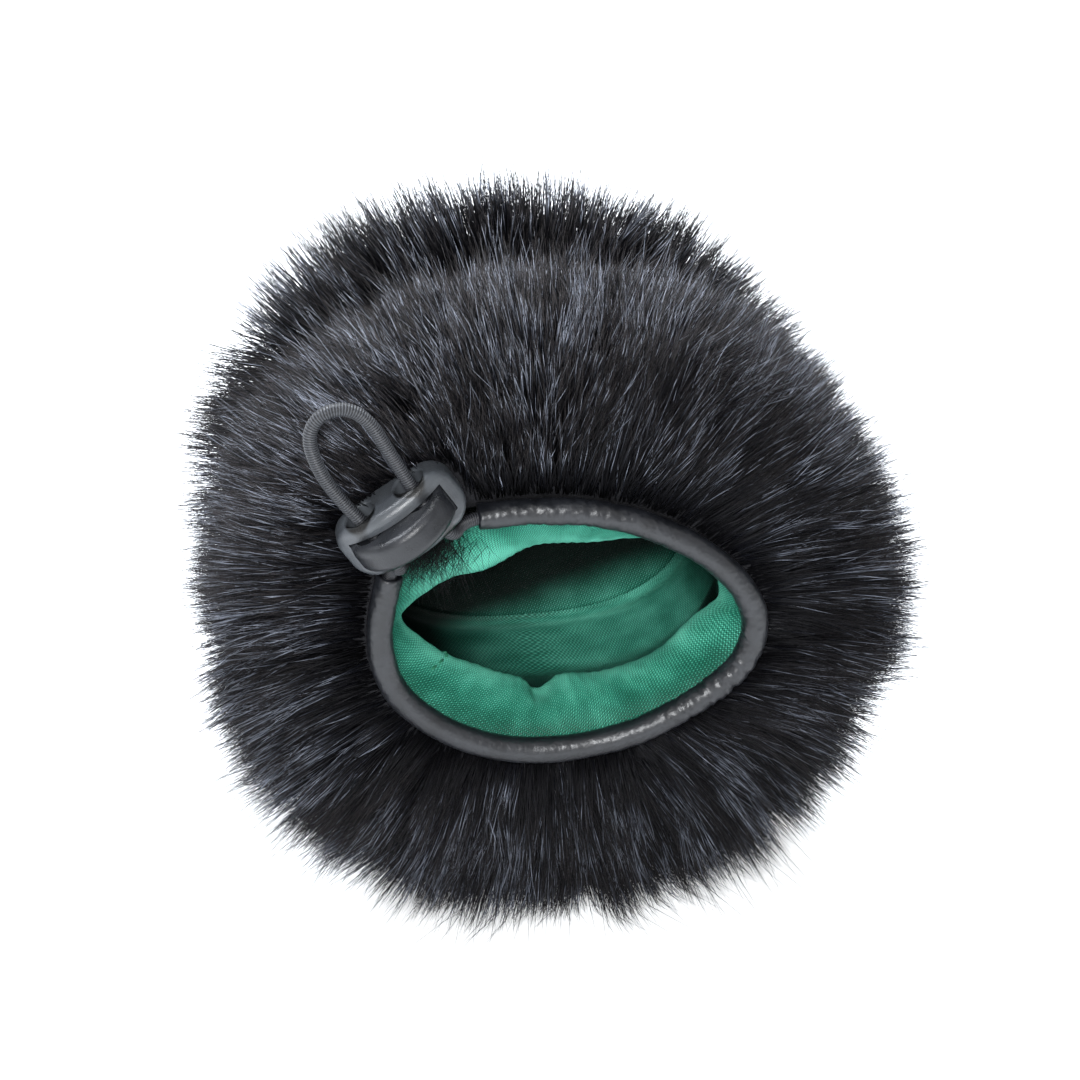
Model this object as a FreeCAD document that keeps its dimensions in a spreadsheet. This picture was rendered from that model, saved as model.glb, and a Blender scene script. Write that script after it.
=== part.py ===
"""Fur wind cover for a microphone: a round fur bag lying on its side, with a knit lining,
a piped mouth that carries an elastic drawcord, and a spring cord lock on the drawcord.

Millimetres. +Z is up, the bag's axis runs along Y and its mouth faces -Y. The origin is on the
surface that the cover rests on, straight below the bag's axis and amidships between its seams.
"""

import FreeCAD, Part
import math
import os
import Sketcher
from FreeCAD import Vector

# Driving sizes

SIZES = {
    # the bag's fabric core, an oval tube, and the space for seams between lining and fur
    "core_half_width": 34.0,
    "core_half_height": 25.0,
    "lining_thickness": 0.8,
    "seam_space": 1.2,
    "thread_diameter": 0.6,
    "fabric_gap": 0.3,
    # places along the axis, in front of (mouth side) and behind the origin
    "mouth_front": 36.0,
    "front_seam": 20.0,
    "end_seam": 16.0,
    # the pile's outer form, and how far its own weight presses it flat below
    "pile_radius": 60.5,
    "pile_squash": 2.5,
    "pile_front": 38.0,
    "front_lip": 2.0,
    "front_flat_radius": 34.0,
    "front_crest_radius": 47.0,
    "front_round": 18.0,
    "shoulder_front": 22.0,
    "shoulder_back": 1.0,
    "groove_round": 24.0,
    "groove_radius": 48.0,
    "cap_root_radius": 58.5,
    "cap_root": 26.0,
    "cap_shoulder_radius": 50.0,
    "cap_shoulder": 42.0,
    "cap_round": 24.0,
    "cap_end": 50.0,
    # the piping on the mouth's route, and how far the lining's edge lies inside its middle
    "lining_inset": 1.1,
    "piping_diameter": 4.6,
    "piping_wall": 0.5,
    # the drawcord
    "cord_diameter": 2.4,
    "joint_wall": 0.25,
    "joint_clearance": 0.2,
    "joint_length": 5.0,
    # the cord lock, in its own frame: X along its length, -Y out of its front, Z along the cord
    "lock_left": 29.1,
    "lock_rise": 28.2,
    "lock_stand": 4.0,
    "lock_lean": 33.6,
    "barrel_length": 22.4,
    "barrel_height": 10.8,
    "barrel_front": 5.5,
    "barrel_front_bow": 5.0,
    "barrel_back": 5.0,
    "barrel_back_bow": 1.3,
    "barrel_back_wall": 1.3,
    "barrel_end_round": 3.8,
    "barrel_rim_round": 1.7,
    "hole_spacing": 9.8,
    "hole_diameter": 5.6,
    "hole_lip": 0.5,
    "plunger_length": 18.2,
    "plunger_height": 5.4,
    "plunger_reach": 5.0,
    "plunger_bow": 6.2,
    "plunger_round": 1.6,
    "plunger_play": 0.1,
    "plunger_travel": 2.4,
    "cord_play": 0.05,
    "lock_travel": 9.0,
    # the plunger's spring and the seats that hold it
    "spring_diameter": 2.6,
    "spring_wire": 0.35,
    "spring_turns": 8.0,
    "spring_side_play": 0.2,
    "spring_end_play": 0.05,
    "pocket_depth": 5.0,
    "spigot_diameter": 1.6,
    "spigot_length": 1.5,
    # the bed that the lock presses into the pile
    "bed_margin": 1.0,
    "bed_clearance": 0.3,
}

# Sizes worked out from the driving ones. Each is a cell of the same sheet.

DERIVED = {
    "axis_height": "=pile_radius - pile_squash",
    "half_gap": "=fabric_gap / 2",
    "mouth_half_width": "=route_half_width - lining_inset",
    "mouth_half_height": "=route_half_height - lining_inset",
    "core_outer_width": "=core_half_width + lining_thickness",
    "core_outer_height": "=core_half_height + lining_thickness",
    "fur_inner_width": "=core_outer_width + seam_space",
    "fur_inner_height": "=core_outer_height + seam_space",
    "thread_width": "=core_outer_width + seam_space / 2",
    "thread_height": "=core_outer_height + seam_space / 2",
    "mouth_outer_width": "=mouth_half_width + lining_thickness / 2",
    "mouth_outer_height": "=mouth_half_height + lining_thickness / 2",
    "mouth_inner_width": "=mouth_half_width - lining_thickness / 2",
    "mouth_inner_height": "=mouth_half_height - lining_thickness / 2",
    "mouth_fur_width": "=mouth_outer_width + seam_space",
    "mouth_fur_height": "=mouth_outer_height + seam_space",
    "mouth_thread_width": "=mouth_outer_width + seam_space / 2",
    "mouth_thread_height": "=mouth_outer_height + seam_space / 2",
    "pile_front_inner": "=pile_front - front_lip",
    "band_front": "=mouth_front - piping_diameter / 2 - fabric_gap",
    "band_back": "=front_seam + fabric_gap",
    "front_fur_back": "=front_seam + half_gap",
    "side_fur_front": "=front_seam - half_gap",
    "side_fur_back": "=end_seam - half_gap",
    "cap_front": "=end_seam + half_gap",
    "end_lining_back": "=cap_front - fabric_gap",
    "end_lining_front": "=end_lining_back - lining_thickness",
    "side_lining_back": "=end_lining_front - fabric_gap",
    "cap_rise": "=cap_end - cap_shoulder",
    "cap_dome": "=(cap_shoulder_radius ^ 2 + cap_rise ^ 2) / (2 * cap_rise)",
    "thread_radius": "=thread_diameter / 2",
    "thread_step": "=thread_diameter + fabric_gap",
    "fur_front_thread": "=front_seam - thread_step / 2",
    "lining_front_thread": "=front_seam + thread_step / 2",
    "fur_end_thread": "=end_lining_back - thread_radius",
    "lining_end_thread": "=fur_end_thread - thread_step",
    "piping_thread": "=band_front - fabric_gap",
    "side_thread_front": "=front_seam - thread_step * 3 / 2",
    "side_thread_length": "=side_thread_front + lining_end_thread - thread_step",
    "channel_bore": "=piping_diameter - 2 * piping_wall",
    "lock_plane": "=mouth_front + lock_stand",
    "barrel_half_length": "=barrel_length / 2",
    "barrel_half_height": "=barrel_height / 2",
    "barrel_front_corner": "=barrel_front - barrel_front_bow",
    "barrel_back_corner": "=barrel_back - barrel_back_bow",
    "barrel_front_radius": "=(barrel_half_length ^ 2 + barrel_front_bow ^ 2) / (2 * barrel_front_bow)",
    "barrel_back_radius": "=(barrel_half_length ^ 2 + barrel_back_bow ^ 2) / (2 * barrel_back_bow)",
    "slot_length": "=plunger_length + 2 * plunger_play",
    "slot_height": "=plunger_height + 2 * plunger_play",
    "slot_half_length": "=slot_length / 2",
    "slot_half_height": "=slot_height / 2",
    "slot_back": "=barrel_back - barrel_back_wall",
    "spigot_radius": "=spigot_diameter / 2",
    "hole_radius": "=hole_diameter / 2",
    "half_spacing": "=hole_spacing / 2",
    "window_shift": "=hole_diameter - cord_diameter - 2 * cord_play",
    "cord_ahead": "=hole_radius - cord_play - cord_diameter / 2",
    "cord_plane": "=lock_plane + cord_ahead",
    "plunger_half_length": "=plunger_length / 2",
    "plunger_half_height": "=plunger_height / 2",
    "plunger_face": "=barrel_front + plunger_reach",
    "plunger_face_corner": "=plunger_face - plunger_bow",
    "plunger_face_radius": "=(plunger_half_length ^ 2 + plunger_bow ^ 2) / (2 * plunger_bow)",
    "plunger_back": "=slot_back - plunger_travel - plunger_play",
    "pocket_floor": "=pocket_depth - plunger_back",
    "pocket_radius": "=spring_diameter / 2 + spring_side_play",
    "spring_front": "=pocket_floor - spring_end_play",
    "spring_back": "=slot_back - spring_end_play",
    "spring_radius": "=(spring_diameter - spring_wire) / 2",
    "bed_depth": "=barrel_back + bed_clearance",
    "bed_half_length": "=barrel_half_length + bed_margin",
    "bed_height": "=barrel_height + lock_travel + 2 * bed_margin",
    "bed_shift": "=lock_travel / 2",
}

# The mouth's route, seen from the front: X and the height above the bag's axis. The piping
# starts right of the lock, goes clockwise round the mouth and ends below the lock.
MOUTH_ROUTE = [
    (-15.4, 25.5),
    (-6.5, 26.2),
    (6.0, 24.6),
    (18.5, 19.4),
    (28.5, 11.0),
    (33.2, 1.8),
    (30.4, -7.4),
    (20.5, -15.0),
    (7.0, -20.6),
    (-8.5, -21.2),
    (-21.5, -16.2),
    (-30.5, -7.6),
    (-33.2, 2.6),
    (-32.0, 11.0),
    (-30.9, 15.5),
]
# Two more points close the mouth's outline behind the lock.
MOUTH_CORNER = [(-28.2, 21.4), (-22.4, 24.9)]

# Half of the mouth's width and height and its middle above the axis, as the route gives them
across = [x for x, rise in MOUTH_ROUTE]
rises = [rise for x, rise in MOUTH_ROUTE]
MOUTH = {
    "route_half_width": (max(across) - min(across)) / 2,
    "route_half_height": (max(rises) - min(rises)) / 2,
    "mouth_rise": (max(rises) + min(rises)) / 2,
}

# How far the free cord reaches into each end of the piping
CORD_TUCK = 2.5

# The loop beyond the lock, in the lock's frame: along its length, and along the cord.
LOOP_POINTS = [
    (6.7, 18.9),
    (4.9, 23.2),
    (0.4, 24.7),
    (-3.4, 22.6),
]
LEG_RIGHT_TOP = 15.0
LEG_LEFT_TOP = 17.1
LEG_FOOT = 7.6
# Where the free cord turns towards the piping's ends, as X and height above the axis
TURN_RIGHT = (-18.4, 25.3)
TURN_LEFT = (-30.5, 17.9)

# The band's own short seam lies this far round the oval from +X.
BAND_SEAM_ANGLE = 197.0

doc = FreeCAD.newDocument("fur_wind_cover")
sheet = doc.addObject("Spreadsheet::Sheet", "Sizes")
for row, (alias, content) in enumerate({**SIZES, **MOUTH, **DERIVED}.items(), start=1):
    sheet.set(f"A{row}", alias)
    sheet.set(f"B{row}", str(content))
    sheet.setAlias(f"B{row}", alias)
doc.recompute()

pieces = {}


def size(name):
    """One size from the sheet as a plain number, with a leading minus sign if asked."""
    if name.startswith("-"):
        return -size(name[1:])
    return float(sheet.get(name))


def cell(name):
    """The expression that binds a property to a size, with its sign."""
    if name.startswith("-"):
        return "-Sizes." + name[1:]
    return "Sizes." + name


def bind(thing, **properties):
    """Binds each property to a cell or to an expression of cells."""
    for name, expression in properties.items():
        thing.setExpression(name.replace("__", "."), expression)


def finish_piece(thing, name):
    """Names a sub-part, which is written to a file of that name at the end."""
    thing.Label = name
    pieces[name] = thing
    return thing


def volume_of(thing):
    doc.recompute()
    return thing.Shape.Volume


# Sketch and body helpers


def new_body(name, in_lock=False):
    """A body on the bag's axis, or in the lock's leaning frame."""
    body = doc.addObject("PartDesign::Body", name)
    if in_lock:
        place_in_lock(body)
    else:
        place_on_axis(body)
    return body


def place_on_axis(thing):
    thing.Placement = FreeCAD.Placement(Vector(0, 0, size("axis_height")), FreeCAD.Rotation())
    bind(thing, Placement__Base__z="Sizes.axis_height")


def place_in_lock(thing):
    """Puts a piece in the lock's frame, which leans to the left about the bag's direction."""
    thing.Placement = FreeCAD.Placement(Vector(), FreeCAD.Rotation(Vector(0, -1, 0), size("lock_lean")))
    bind(
        thing,
        Placement__Base__x="-Sizes.lock_left",
        Placement__Base__y="-Sizes.lock_plane",
        Placement__Base__z="Sizes.axis_height + Sizes.lock_rise",
        Placement__Rotation__Angle="Sizes.lock_lean",
    )


def place_ahead(thing, ahead, rise=None):
    """Puts a piece ahead of the origin by a signed size, on the bag's axis or above it."""
    lift = " + Sizes." + rise if rise else ""
    bind(thing, Placement__Base__y=f"-({cell(ahead)})", Placement__Base__z="Sizes.axis_height" + lift)


def plane_of(body, role):
    return next(f for f in body.Origin.OriginFeatures if f.Role == role)


def new_sketch(body, name, role, offset=None):
    """A sketch on one of the body's own planes, moved along its normal by a size if given."""
    sketch = body.newObject("Sketcher::SketchObject", name)
    sketch.AttachmentSupport = (plane_of(body, role), [""])
    sketch.MapMode = "FlatFace"
    if offset:
        sketch.AttachmentOffset = FreeCAD.Placement(Vector(0, 0, size(offset)), FreeCAD.Rotation())
        bind(sketch, AttachmentOffset__Base__z=cell(offset))
    return sketch


def arc_between(start, end, radius):
    """The shorter arc, counter-clockwise from start to end."""
    chord = end - start
    half = chord.Length / 2
    rise = math.sqrt(max(radius**2 - half**2, 0))
    left = Vector(-chord.y, chord.x, 0).normalize()
    centre = start + chord / 2 + left * rise
    first = math.atan2(start.y - centre.y, start.x - centre.x)
    last = math.atan2(end.y - centre.y, end.x - centre.x)
    return Part.ArcOfCircle(Part.Circle(centre, Vector(0, 0, 1), radius), first, last)


def draw_outline(sketch, corners, arcs=None):
    """Draws a closed outline through corners that are named by their sizes, None being on an axis.
    arcs gives the radius of the edge that starts at a corner, and the outline runs counter-clockwise."""
    arcs = arcs or {}
    points = [Vector(size(x) if x else 0, size(y) if y else 0, 0) for x, y in corners]
    for i, start in enumerate(points):
        end = points[(i + 1) % len(points)]
        if i in arcs:
            sketch.addGeometry(arc_between(start, end, size(arcs[i])), False)
        else:
            sketch.addGeometry(Part.LineSegment(start, end), False)
    for i, (x, y) in enumerate(corners):
        sketch.addConstraint(Sketcher.Constraint("Coincident", (i - 1) % len(corners), 2, i, 1))
        for kind, name, value, axis in (("DistanceX", x, points[i].x, -2), ("DistanceY", y, points[i].y, -1)):
            if name is None:
                sketch.addConstraint(Sketcher.Constraint("PointOnObject", i, 1, axis))
                continue
            at = sketch.addConstraint(Sketcher.Constraint(kind, i, 1, value))
            sketch.setExpression(f"Constraints[{at}]", cell(name))
        if i in arcs:
            at = sketch.addConstraint(Sketcher.Constraint("Radius", i, size(arcs[i])))
            sketch.setExpression(f"Constraints[{at}]", cell(arcs[i]))


def draw_rectangle(sketch, half_width, half_height):
    """A rectangle about the sketch's origin."""
    corners = [(-1, -1), (1, -1), (1, 1), (-1, 1)]
    signs = {-1: "-", 1: ""}
    draw_outline(sketch, [(signs[x] + half_width, signs[y] + half_height) for x, y in corners])


def draw_circle(sketch, x, y, radius):
    """A circle whose centre and radius are named by their sizes."""
    centre = Vector(size(x) if x else 0, size(y) if y else 0, 0)
    i = sketch.addGeometry(Part.Circle(centre, Vector(0, 0, 1), size(radius)), False)
    for kind, name, value, axis in (("DistanceX", x, centre.x, -2), ("DistanceY", y, centre.y, -1)):
        if name is None:
            sketch.addConstraint(Sketcher.Constraint("PointOnObject", i, 3, axis))
            continue
        at = sketch.addConstraint(Sketcher.Constraint(kind, i, 3, value))
        sketch.setExpression(f"Constraints[{at}]", cell(name))
    at = sketch.addConstraint(Sketcher.Constraint("Radius", i, size(radius)))
    sketch.setExpression(f"Constraints[{at}]", cell(radius))


def revolve_profile(body, name, corners, arcs=None):
    """Turns a profile about the bag's axis. X is the distance from the axis, Y runs along it."""
    sketch = new_sketch(body, name + "_profile", "XY_Plane")
    draw_outline(sketch, corners, arcs)
    turned = body.newObject("PartDesign::Revolution", name)
    turned.Profile = sketch
    turned.ReferenceAxis = (sketch, ["V_Axis"])
    turned.Angle = 360
    body.Tip = turned
    return turned


def pad(body, name, sketch, length, midplane=True):
    """Raises a sketch by a length, to both sides or along its normal."""
    feature = body.newObject("PartDesign::Pad", name)
    feature.Profile = sketch
    feature.Length = 1
    bind(feature, Length=length)
    feature.Midplane = midplane
    body.Tip = feature
    return feature


def pocket(body, name, sketch, length, midplane=False):
    """Cuts a sketch out of the body by a length, to both sides or along its normal."""
    before = volume_of(body)
    feature = body.newObject("PartDesign::Pocket", name)
    feature.Profile = sketch
    feature.Midplane = midplane
    feature.Reversed = not midplane
    feature.Length = 1
    bind(feature, Length=length)
    body.Tip = feature
    if volume_of(body) >= before:
        raise ValueError(f"{name} cuts nothing")
    return feature


def round_edges(body, name, radius, wanted):
    """Rounds the edges of the body's last feature that wanted picks."""
    doc.recompute()
    base = body.Tip
    picked = [f"Edge{i}" for i, edge in enumerate(base.Shape.Edges, start=1) if wanted(edge)]
    feature = body.newObject("PartDesign::Fillet", name)
    feature.Base = (base, picked)
    feature.Radius = 0.1
    bind(feature, Radius=radius)
    body.Tip = feature
    return feature


# Solids between ovals


def oval_edge(name, half_width, half_height, ahead, rise=None):
    """An upright oval that faces along the bag's axis, ahead of the origin by a signed size."""
    edge = doc.addObject("Part::Ellipse", name)
    bind(edge, MajorRadius=cell(half_width), MinorRadius=cell(half_height))
    edge.Placement = FreeCAD.Placement(Vector(), FreeCAD.Rotation(Vector(1, 0, 0), 90))
    place_ahead(edge, ahead, rise)
    return edge


def oval_solid(name, front, back):
    """A closed solid ruled from one oval to another. Each is (half width, half height, ahead, rise)."""
    loft = doc.addObject("Part::Loft", name)
    loft.Sections = [oval_edge(name + "_front", *front), oval_edge(name + "_back", *back)]
    loft.Solid = True
    loft.Ruled = True
    return loft


def cut(name, base, tools):
    tool = tools[0]
    if len(tools) > 1:
        tool = doc.addObject("Part::MultiFuse", name + "_tools")
        tool.Shapes = tools
    result = doc.addObject("Part::Cut", name)
    result.Base = base
    result.Tool = tool
    return result


def slab(name, front, back, floor=False):
    """A wide block between two places along the bag's axis, or everything below the floor."""
    block = doc.addObject("Part::Box", name)
    bind(
        block,
        Length="Sizes.pile_radius * 4",
        Width=f"{cell(front)} + {cell(back)}",
        Height="Sizes.pile_radius" if floor else "Sizes.pile_radius * 4",
        Placement__Base__x="-Sizes.pile_radius * 2",
        Placement__Base__y=f"-({cell(front)})",
        Placement__Base__z="-Sizes.pile_radius" if floor else "Sizes.axis_height - Sizes.pile_radius * 2",
    )
    return block


# Routes: straight runs joined by arcs that are as large as the runs allow


def corner_arcs(points, closed=False):
    """The runs and arcs of a route, and the radius at each corner."""
    count = len(points)
    corners = range(count) if closed else range(1, count - 1)
    trims, radii = {}, []
    for i in corners:
        before = points[i] - points[i - 1]
        after = points[(i + 1) % count] - points[i]
        turn = before.getAngle(after)
        trim = 0.45 * min(before.Length, after.Length)
        radii.append(trim / math.tan(turn / 2))
        trims[i] = (points[i] - before.normalize() * trim, points[i] + after.normalize() * trim, radii[-1], turn)
    edges = []
    last = trims[0][1] if closed else points[0]
    order = list(corners)[1:] + [0] if closed else list(corners)
    for i in order:
        start, end, radius, turn = trims[i]
        edges.append(Part.LineSegment(last, start).toShape())
        inward = ((start + end) / 2 - points[i]).normalize()
        middle = points[i] + inward * (radius / math.cos(turn / 2) - radius)
        edges.append(Part.Arc(start, middle, end).toShape())
        last = end
    if not closed:
        edges.append(Part.LineSegment(last, points[-1]).toShape())
    return Part.Wire(edges), radii


def tube_along(wire, diameter, name):
    """A round solid along a wire, whose volume is compared with its section times its length."""
    start = wire.OrderedEdges[0]
    first = start.firstVertex().Point if start.Orientation == "Forward" else start.lastVertex().Point
    way = start.tangentAt(start.FirstParameter)
    section = Part.Wire(Part.Circle(first, way, diameter / 2).toShape())
    solid = wire.makePipeShell([section], True, False)
    expected = math.pi * diameter**2 / 4 * wire.Length
    print(f"{name}: volume {solid.Volume:.2f} of {expected:.2f} by length")
    return solid


def mouth_points(route):
    """Points of the mouth's route, or of its outline, in the plane of the piping."""
    height = size("axis_height")
    return [Vector(x, -size("mouth_front"), height + rise) for x, rise in route]


def add_shape(name, shape):
    thing = doc.addObject("Part::Feature", name)
    thing.Shape = shape
    return thing


# Fur panels: one envelope for the front and side panels, split at the front seam

envelope_body = new_body("pile_envelope")
revolve_profile(
    envelope_body,
    "pile_envelope_turned",
    [
        (None, "-pile_front_inner"),
        ("front_flat_radius", "-pile_front_inner"),
        ("front_crest_radius", "-pile_front"),
        ("pile_radius", "-shoulder_front"),
        ("pile_radius", "-shoulder_back"),
        ("groove_radius", "side_fur_back"),
        (None, "side_fur_back"),
    ],
    {2: "front_round", 4: "groove_round"},
)
cap_body = new_body("cap_envelope")
revolve_profile(
    cap_body,
    "cap_envelope_turned",
    [
        (None, "cap_front"),
        ("groove_radius", "cap_front"),
        ("cap_root_radius", "cap_root"),
        ("cap_shoulder_radius", "cap_shoulder"),
        (None, "cap_end"),
    ],
    {2: "cap_round", 3: "cap_dome"},
)

ground = slab("ground_block", "pile_radius", "pile_radius", floor=True)
core = oval_solid(
    "core_space",
    ("fur_inner_width", "fur_inner_height", "front_seam"),
    ("fur_inner_width", "fur_inner_height", "-pile_radius"),
)
core_taper = oval_solid(
    "core_taper",
    ("mouth_fur_width", "mouth_fur_height", "band_front", "mouth_rise"),
    ("fur_inner_width", "fur_inner_height", "front_seam"),
)

outline, _ = corner_arcs(mouth_points(MOUTH_ROUTE + MOUTH_CORNER), closed=True)
mouth_edge = outline.makeOffset2D(size("piping_diameter") / 2 + size("fabric_gap"))
mouth_face = Part.Face(Part.Wire(mouth_edge.Edges))
mouth_face.translate(Vector(0, size("mouth_front") - size("band_front"), 0))
mouth_space = add_shape("mouth_space", mouth_face.extrude(Vector(0, -size("pile_radius"), 0)))

bed = new_body("lock_bed", in_lock=True)
bed_plan = new_sketch(bed, "lock_bed_plan", "XY_Plane", offset="bed_shift")
draw_outline(
    bed_plan,
    [
        ("-bed_half_length", "-pile_front"),
        ("bed_half_length", "-pile_front"),
        ("bed_half_length", "bed_depth"),
        ("-bed_half_length", "bed_depth"),
    ],
)
pad(bed, "lock_bed_block", bed_plan, "Sizes.bed_height")

front_half = doc.addObject("Part::Common", "front_half")
front_half.Base = envelope_body
front_half.Tool = slab("front_slab", "pile_radius", "-front_fur_back")
front_tools = [ground, core_taper, mouth_space, bed]
finish_piece(cut("fur_front_cut", front_half, front_tools), "fur_front_panel")

side_half = doc.addObject("Part::Common", "side_half")
side_half.Base = envelope_body
side_half.Tool = slab("side_slab", "side_fur_front", "pile_radius")
finish_piece(cut("fur_side_cut", side_half, [ground, core]), "fur_side_panel")
finish_piece(cut("fur_cap_cut", cap_body, [ground]), "fur_end_cap")

# Lining: a band behind the mouth, a tube and a disc

band_outside = oval_solid(
    "band_outside",
    ("mouth_outer_width", "mouth_outer_height", "band_front", "mouth_rise"),
    ("core_outer_width", "core_outer_height", "band_back"),
)
band_inside = oval_solid(
    "band_inside",
    ("mouth_inner_width", "mouth_inner_height", "band_front", "mouth_rise"),
    ("core_half_width", "core_half_height", "band_back"),
)
finish_piece(cut("band_cut", band_outside, [band_inside]), "lining_front_band")

tube_outside = oval_solid(
    "tube_outside",
    ("core_outer_width", "core_outer_height", "front_seam"),
    ("core_outer_width", "core_outer_height", "-side_lining_back"),
)
tube_inside = oval_solid(
    "tube_inside",
    ("core_half_width", "core_half_height", "pile_radius"),
    ("core_half_width", "core_half_height", "-pile_radius"),
)
finish_piece(cut("tube_cut", tube_outside, [tube_inside]), "lining_side")

disc = oval_solid(
    "lining_disc",
    ("core_outer_width", "core_outer_height", "-end_lining_front"),
    ("core_outer_width", "core_outer_height", "-end_lining_back"),
)
finish_piece(disc, "lining_end")

# Seam threads: rings in the space between lining and fur, and rods along the bag


def thread_ring(name, half_width, half_height, ahead, rise=None):
    """A closed ring of thread on an upright oval."""
    section = doc.addObject("Part::Circle", name + "_section")
    bind(section, Radius="Sizes.thread_radius", Placement__Base__x=cell(half_width))
    place_ahead(section, ahead, rise)
    ring = doc.addObject("Part::Sweep", name + "_ring")
    ring.Sections = [section]
    ring.Spine = (oval_edge(name + "_oval", half_width, half_height, ahead, rise), ["Edge1"])
    ring.Solid = True
    return finish_piece(ring, name)


def thread_rod(name, side=None, drop=None):
    """A straight line of thread along the bag, at its left side or below its axis."""
    rod = doc.addObject("Part::Cylinder", name + "_rod")
    rod.Placement = FreeCAD.Placement(Vector(), FreeCAD.Rotation(Vector(1, 0, 0), -90))
    bind(
        rod,
        Radius="Sizes.thread_radius",
        Height="Sizes.side_thread_length",
        Placement__Base__x="-Sizes." + side if side else "0",
        Placement__Base__y="-Sizes.side_thread_front",
        Placement__Base__z="Sizes.axis_height" + (" - Sizes." + drop if drop else ""),
    )
    return finish_piece(rod, name)


thread_ring("fur_front_seam_thread", "thread_width", "thread_height", "fur_front_thread")
thread_ring("lining_front_seam_thread", "thread_width", "thread_height", "lining_front_thread")
thread_ring("fur_end_seam_thread", "thread_width", "thread_height", "-fur_end_thread")
thread_ring("lining_end_seam_thread", "thread_width", "thread_height", "-lining_end_thread")
thread_ring("piping_thread", "mouth_thread_width", "mouth_thread_height", "piping_thread", "mouth_rise")
thread_rod("fur_side_seam_thread", drop="thread_height")
thread_rod("lining_side_seam_thread", side="thread_width")


def on_oval(half_width, half_height, ahead, rise, inset):
    """A point on the inner side of the lining band, at the angle of its seam."""
    angle = math.radians(BAND_SEAM_ANGLE)
    x = (size(half_width) - inset) * math.cos(angle)
    return Vector(x, -ahead, size("axis_height") + rise + (size(half_height) - inset) * math.sin(angle))


seam_inset = size("fabric_gap") + size("thread_radius")
seam_front = on_oval("mouth_inner_width", "mouth_inner_height", size("band_front"), size("mouth_rise"), seam_inset)
seam_back = on_oval("core_half_width", "core_half_height", size("band_back"), 0.0, seam_inset)
seam_way = seam_back - seam_front
band_seam = Part.makeCylinder(size("thread_radius"), seam_way.Length, seam_front, seam_way)
finish_piece(add_shape("band_seam_rod", band_seam), "lining_band_seam_thread")

# Piping, the cord inside it and the sleeve that joins the cord's ends

route = mouth_points(MOUTH_ROUTE)
channel_path, channel_radii = corner_arcs(route)
print("piping radii:", " ".join(f"{r:.1f}" for r in channel_radii))
skin = tube_along(channel_path, size("piping_diameter"), "mouth_piping")
bore = tube_along(channel_path, size("channel_bore"), "its bore")
finish_piece(add_shape("piping_tube", skin.cut(bore)), "mouth_piping")


def drawn_in(points, near, far):
    """The same route with its ends drawn in by a length along their runs."""
    first = points[0] + (points[1] - points[0]).normalize() * near
    last = points[-1] + (points[-2] - points[-1]).normalize() * far
    return [first, *points[1:-1], last]


inner_points = drawn_in(route, CORD_TUCK, CORD_TUCK)
inner_path, inner_radii = corner_arcs(inner_points)
print("cord in the channel, radii:", " ".join(f"{r:.1f}" for r in inner_radii))
inner_cord = tube_along(inner_path, size("cord_diameter"), "drawcord_in_channel")
finish_piece(add_shape("inner_cord", inner_cord), "drawcord_in_channel")

low_left, low_right = (Vector(p) for p in sorted(route, key=lambda p: p.z)[:2])
joint_middle = (low_left + low_right) / 2
joint_way = (low_right - low_left).normalize()
joint_start = joint_middle - joint_way * (size("joint_length") / 2)
joint_bore = size("cord_diameter") / 2 + size("joint_clearance")
joint_outer = joint_bore + size("joint_wall")
joint_sleeve = Part.makeCylinder(joint_outer, size("joint_length"), joint_start, joint_way)
joint_hole = Part.makeCylinder(joint_bore, size("joint_length"), joint_start, joint_way)
finish_piece(add_shape("joint_sleeve", joint_sleeve.cut(joint_hole)), "drawcord_joint")

# The free cord: out of the piping, up through the lock, round the loop and back


lean = math.radians(size("lock_lean"))


def in_lock(along, up):
    """A point on the cord's plane, given in the lock's frame."""
    x = -size("lock_left") + along * math.cos(lean) - up * math.sin(lean)
    z = size("lock_rise") + along * math.sin(lean) + up * math.cos(lean)
    return Vector(x, -size("cord_plane"), size("axis_height") + z)


leg = size("half_spacing")
loop_points = [
    inner_points[0],
    *mouth_points([TURN_RIGHT]),
    in_lock(leg, -LEG_FOOT),
    in_lock(leg, LEG_RIGHT_TOP),
    *[in_lock(along, up) for along, up in LOOP_POINTS],
    in_lock(-leg, LEG_LEFT_TOP),
    in_lock(-leg, -LEG_FOOT),
    *mouth_points([TURN_LEFT]),
    inner_points[-1],
]
loop_path, loop_radii = corner_arcs(loop_points)
print("free cord, radii:", " ".join(f"{r:.1f}" for r in loop_radii))
free_cord = tube_along(loop_path, size("cord_diameter"), "drawcord_loop")
finish_piece(add_shape("free_cord", free_cord), "drawcord_loop")

# Cord lock barrel

barrel = new_body("barrel_body", in_lock=True)
plan = new_sketch(barrel, "barrel_plan", "XY_Plane")
draw_outline(
    plan,
    [
        ("-barrel_half_length", "-barrel_front_corner"),
        ("barrel_half_length", "-barrel_front_corner"),
        ("barrel_half_length", "barrel_back_corner"),
        ("-barrel_half_length", "barrel_back_corner"),
    ],
    {0: "barrel_front_radius", 2: "barrel_back_radius"},
)
pad(barrel, "barrel_block", plan, "Sizes.barrel_height")

# How far two lengths may differ and still count as the same when edges are picked
SAME = 1e-3


def runs_back(edge):
    """Picks the straight edges that run from the lock's front to its back."""
    box = edge.BoundBox
    return box.XLength < SAME and box.ZLength < SAME


def is_flat_at(height):
    """Picks the edges that lie in one level plane, above and below the middle."""
    return lambda edge: edge.BoundBox.ZLength < SAME and abs(abs(edge.BoundBox.ZMax) - height) < SAME


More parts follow.
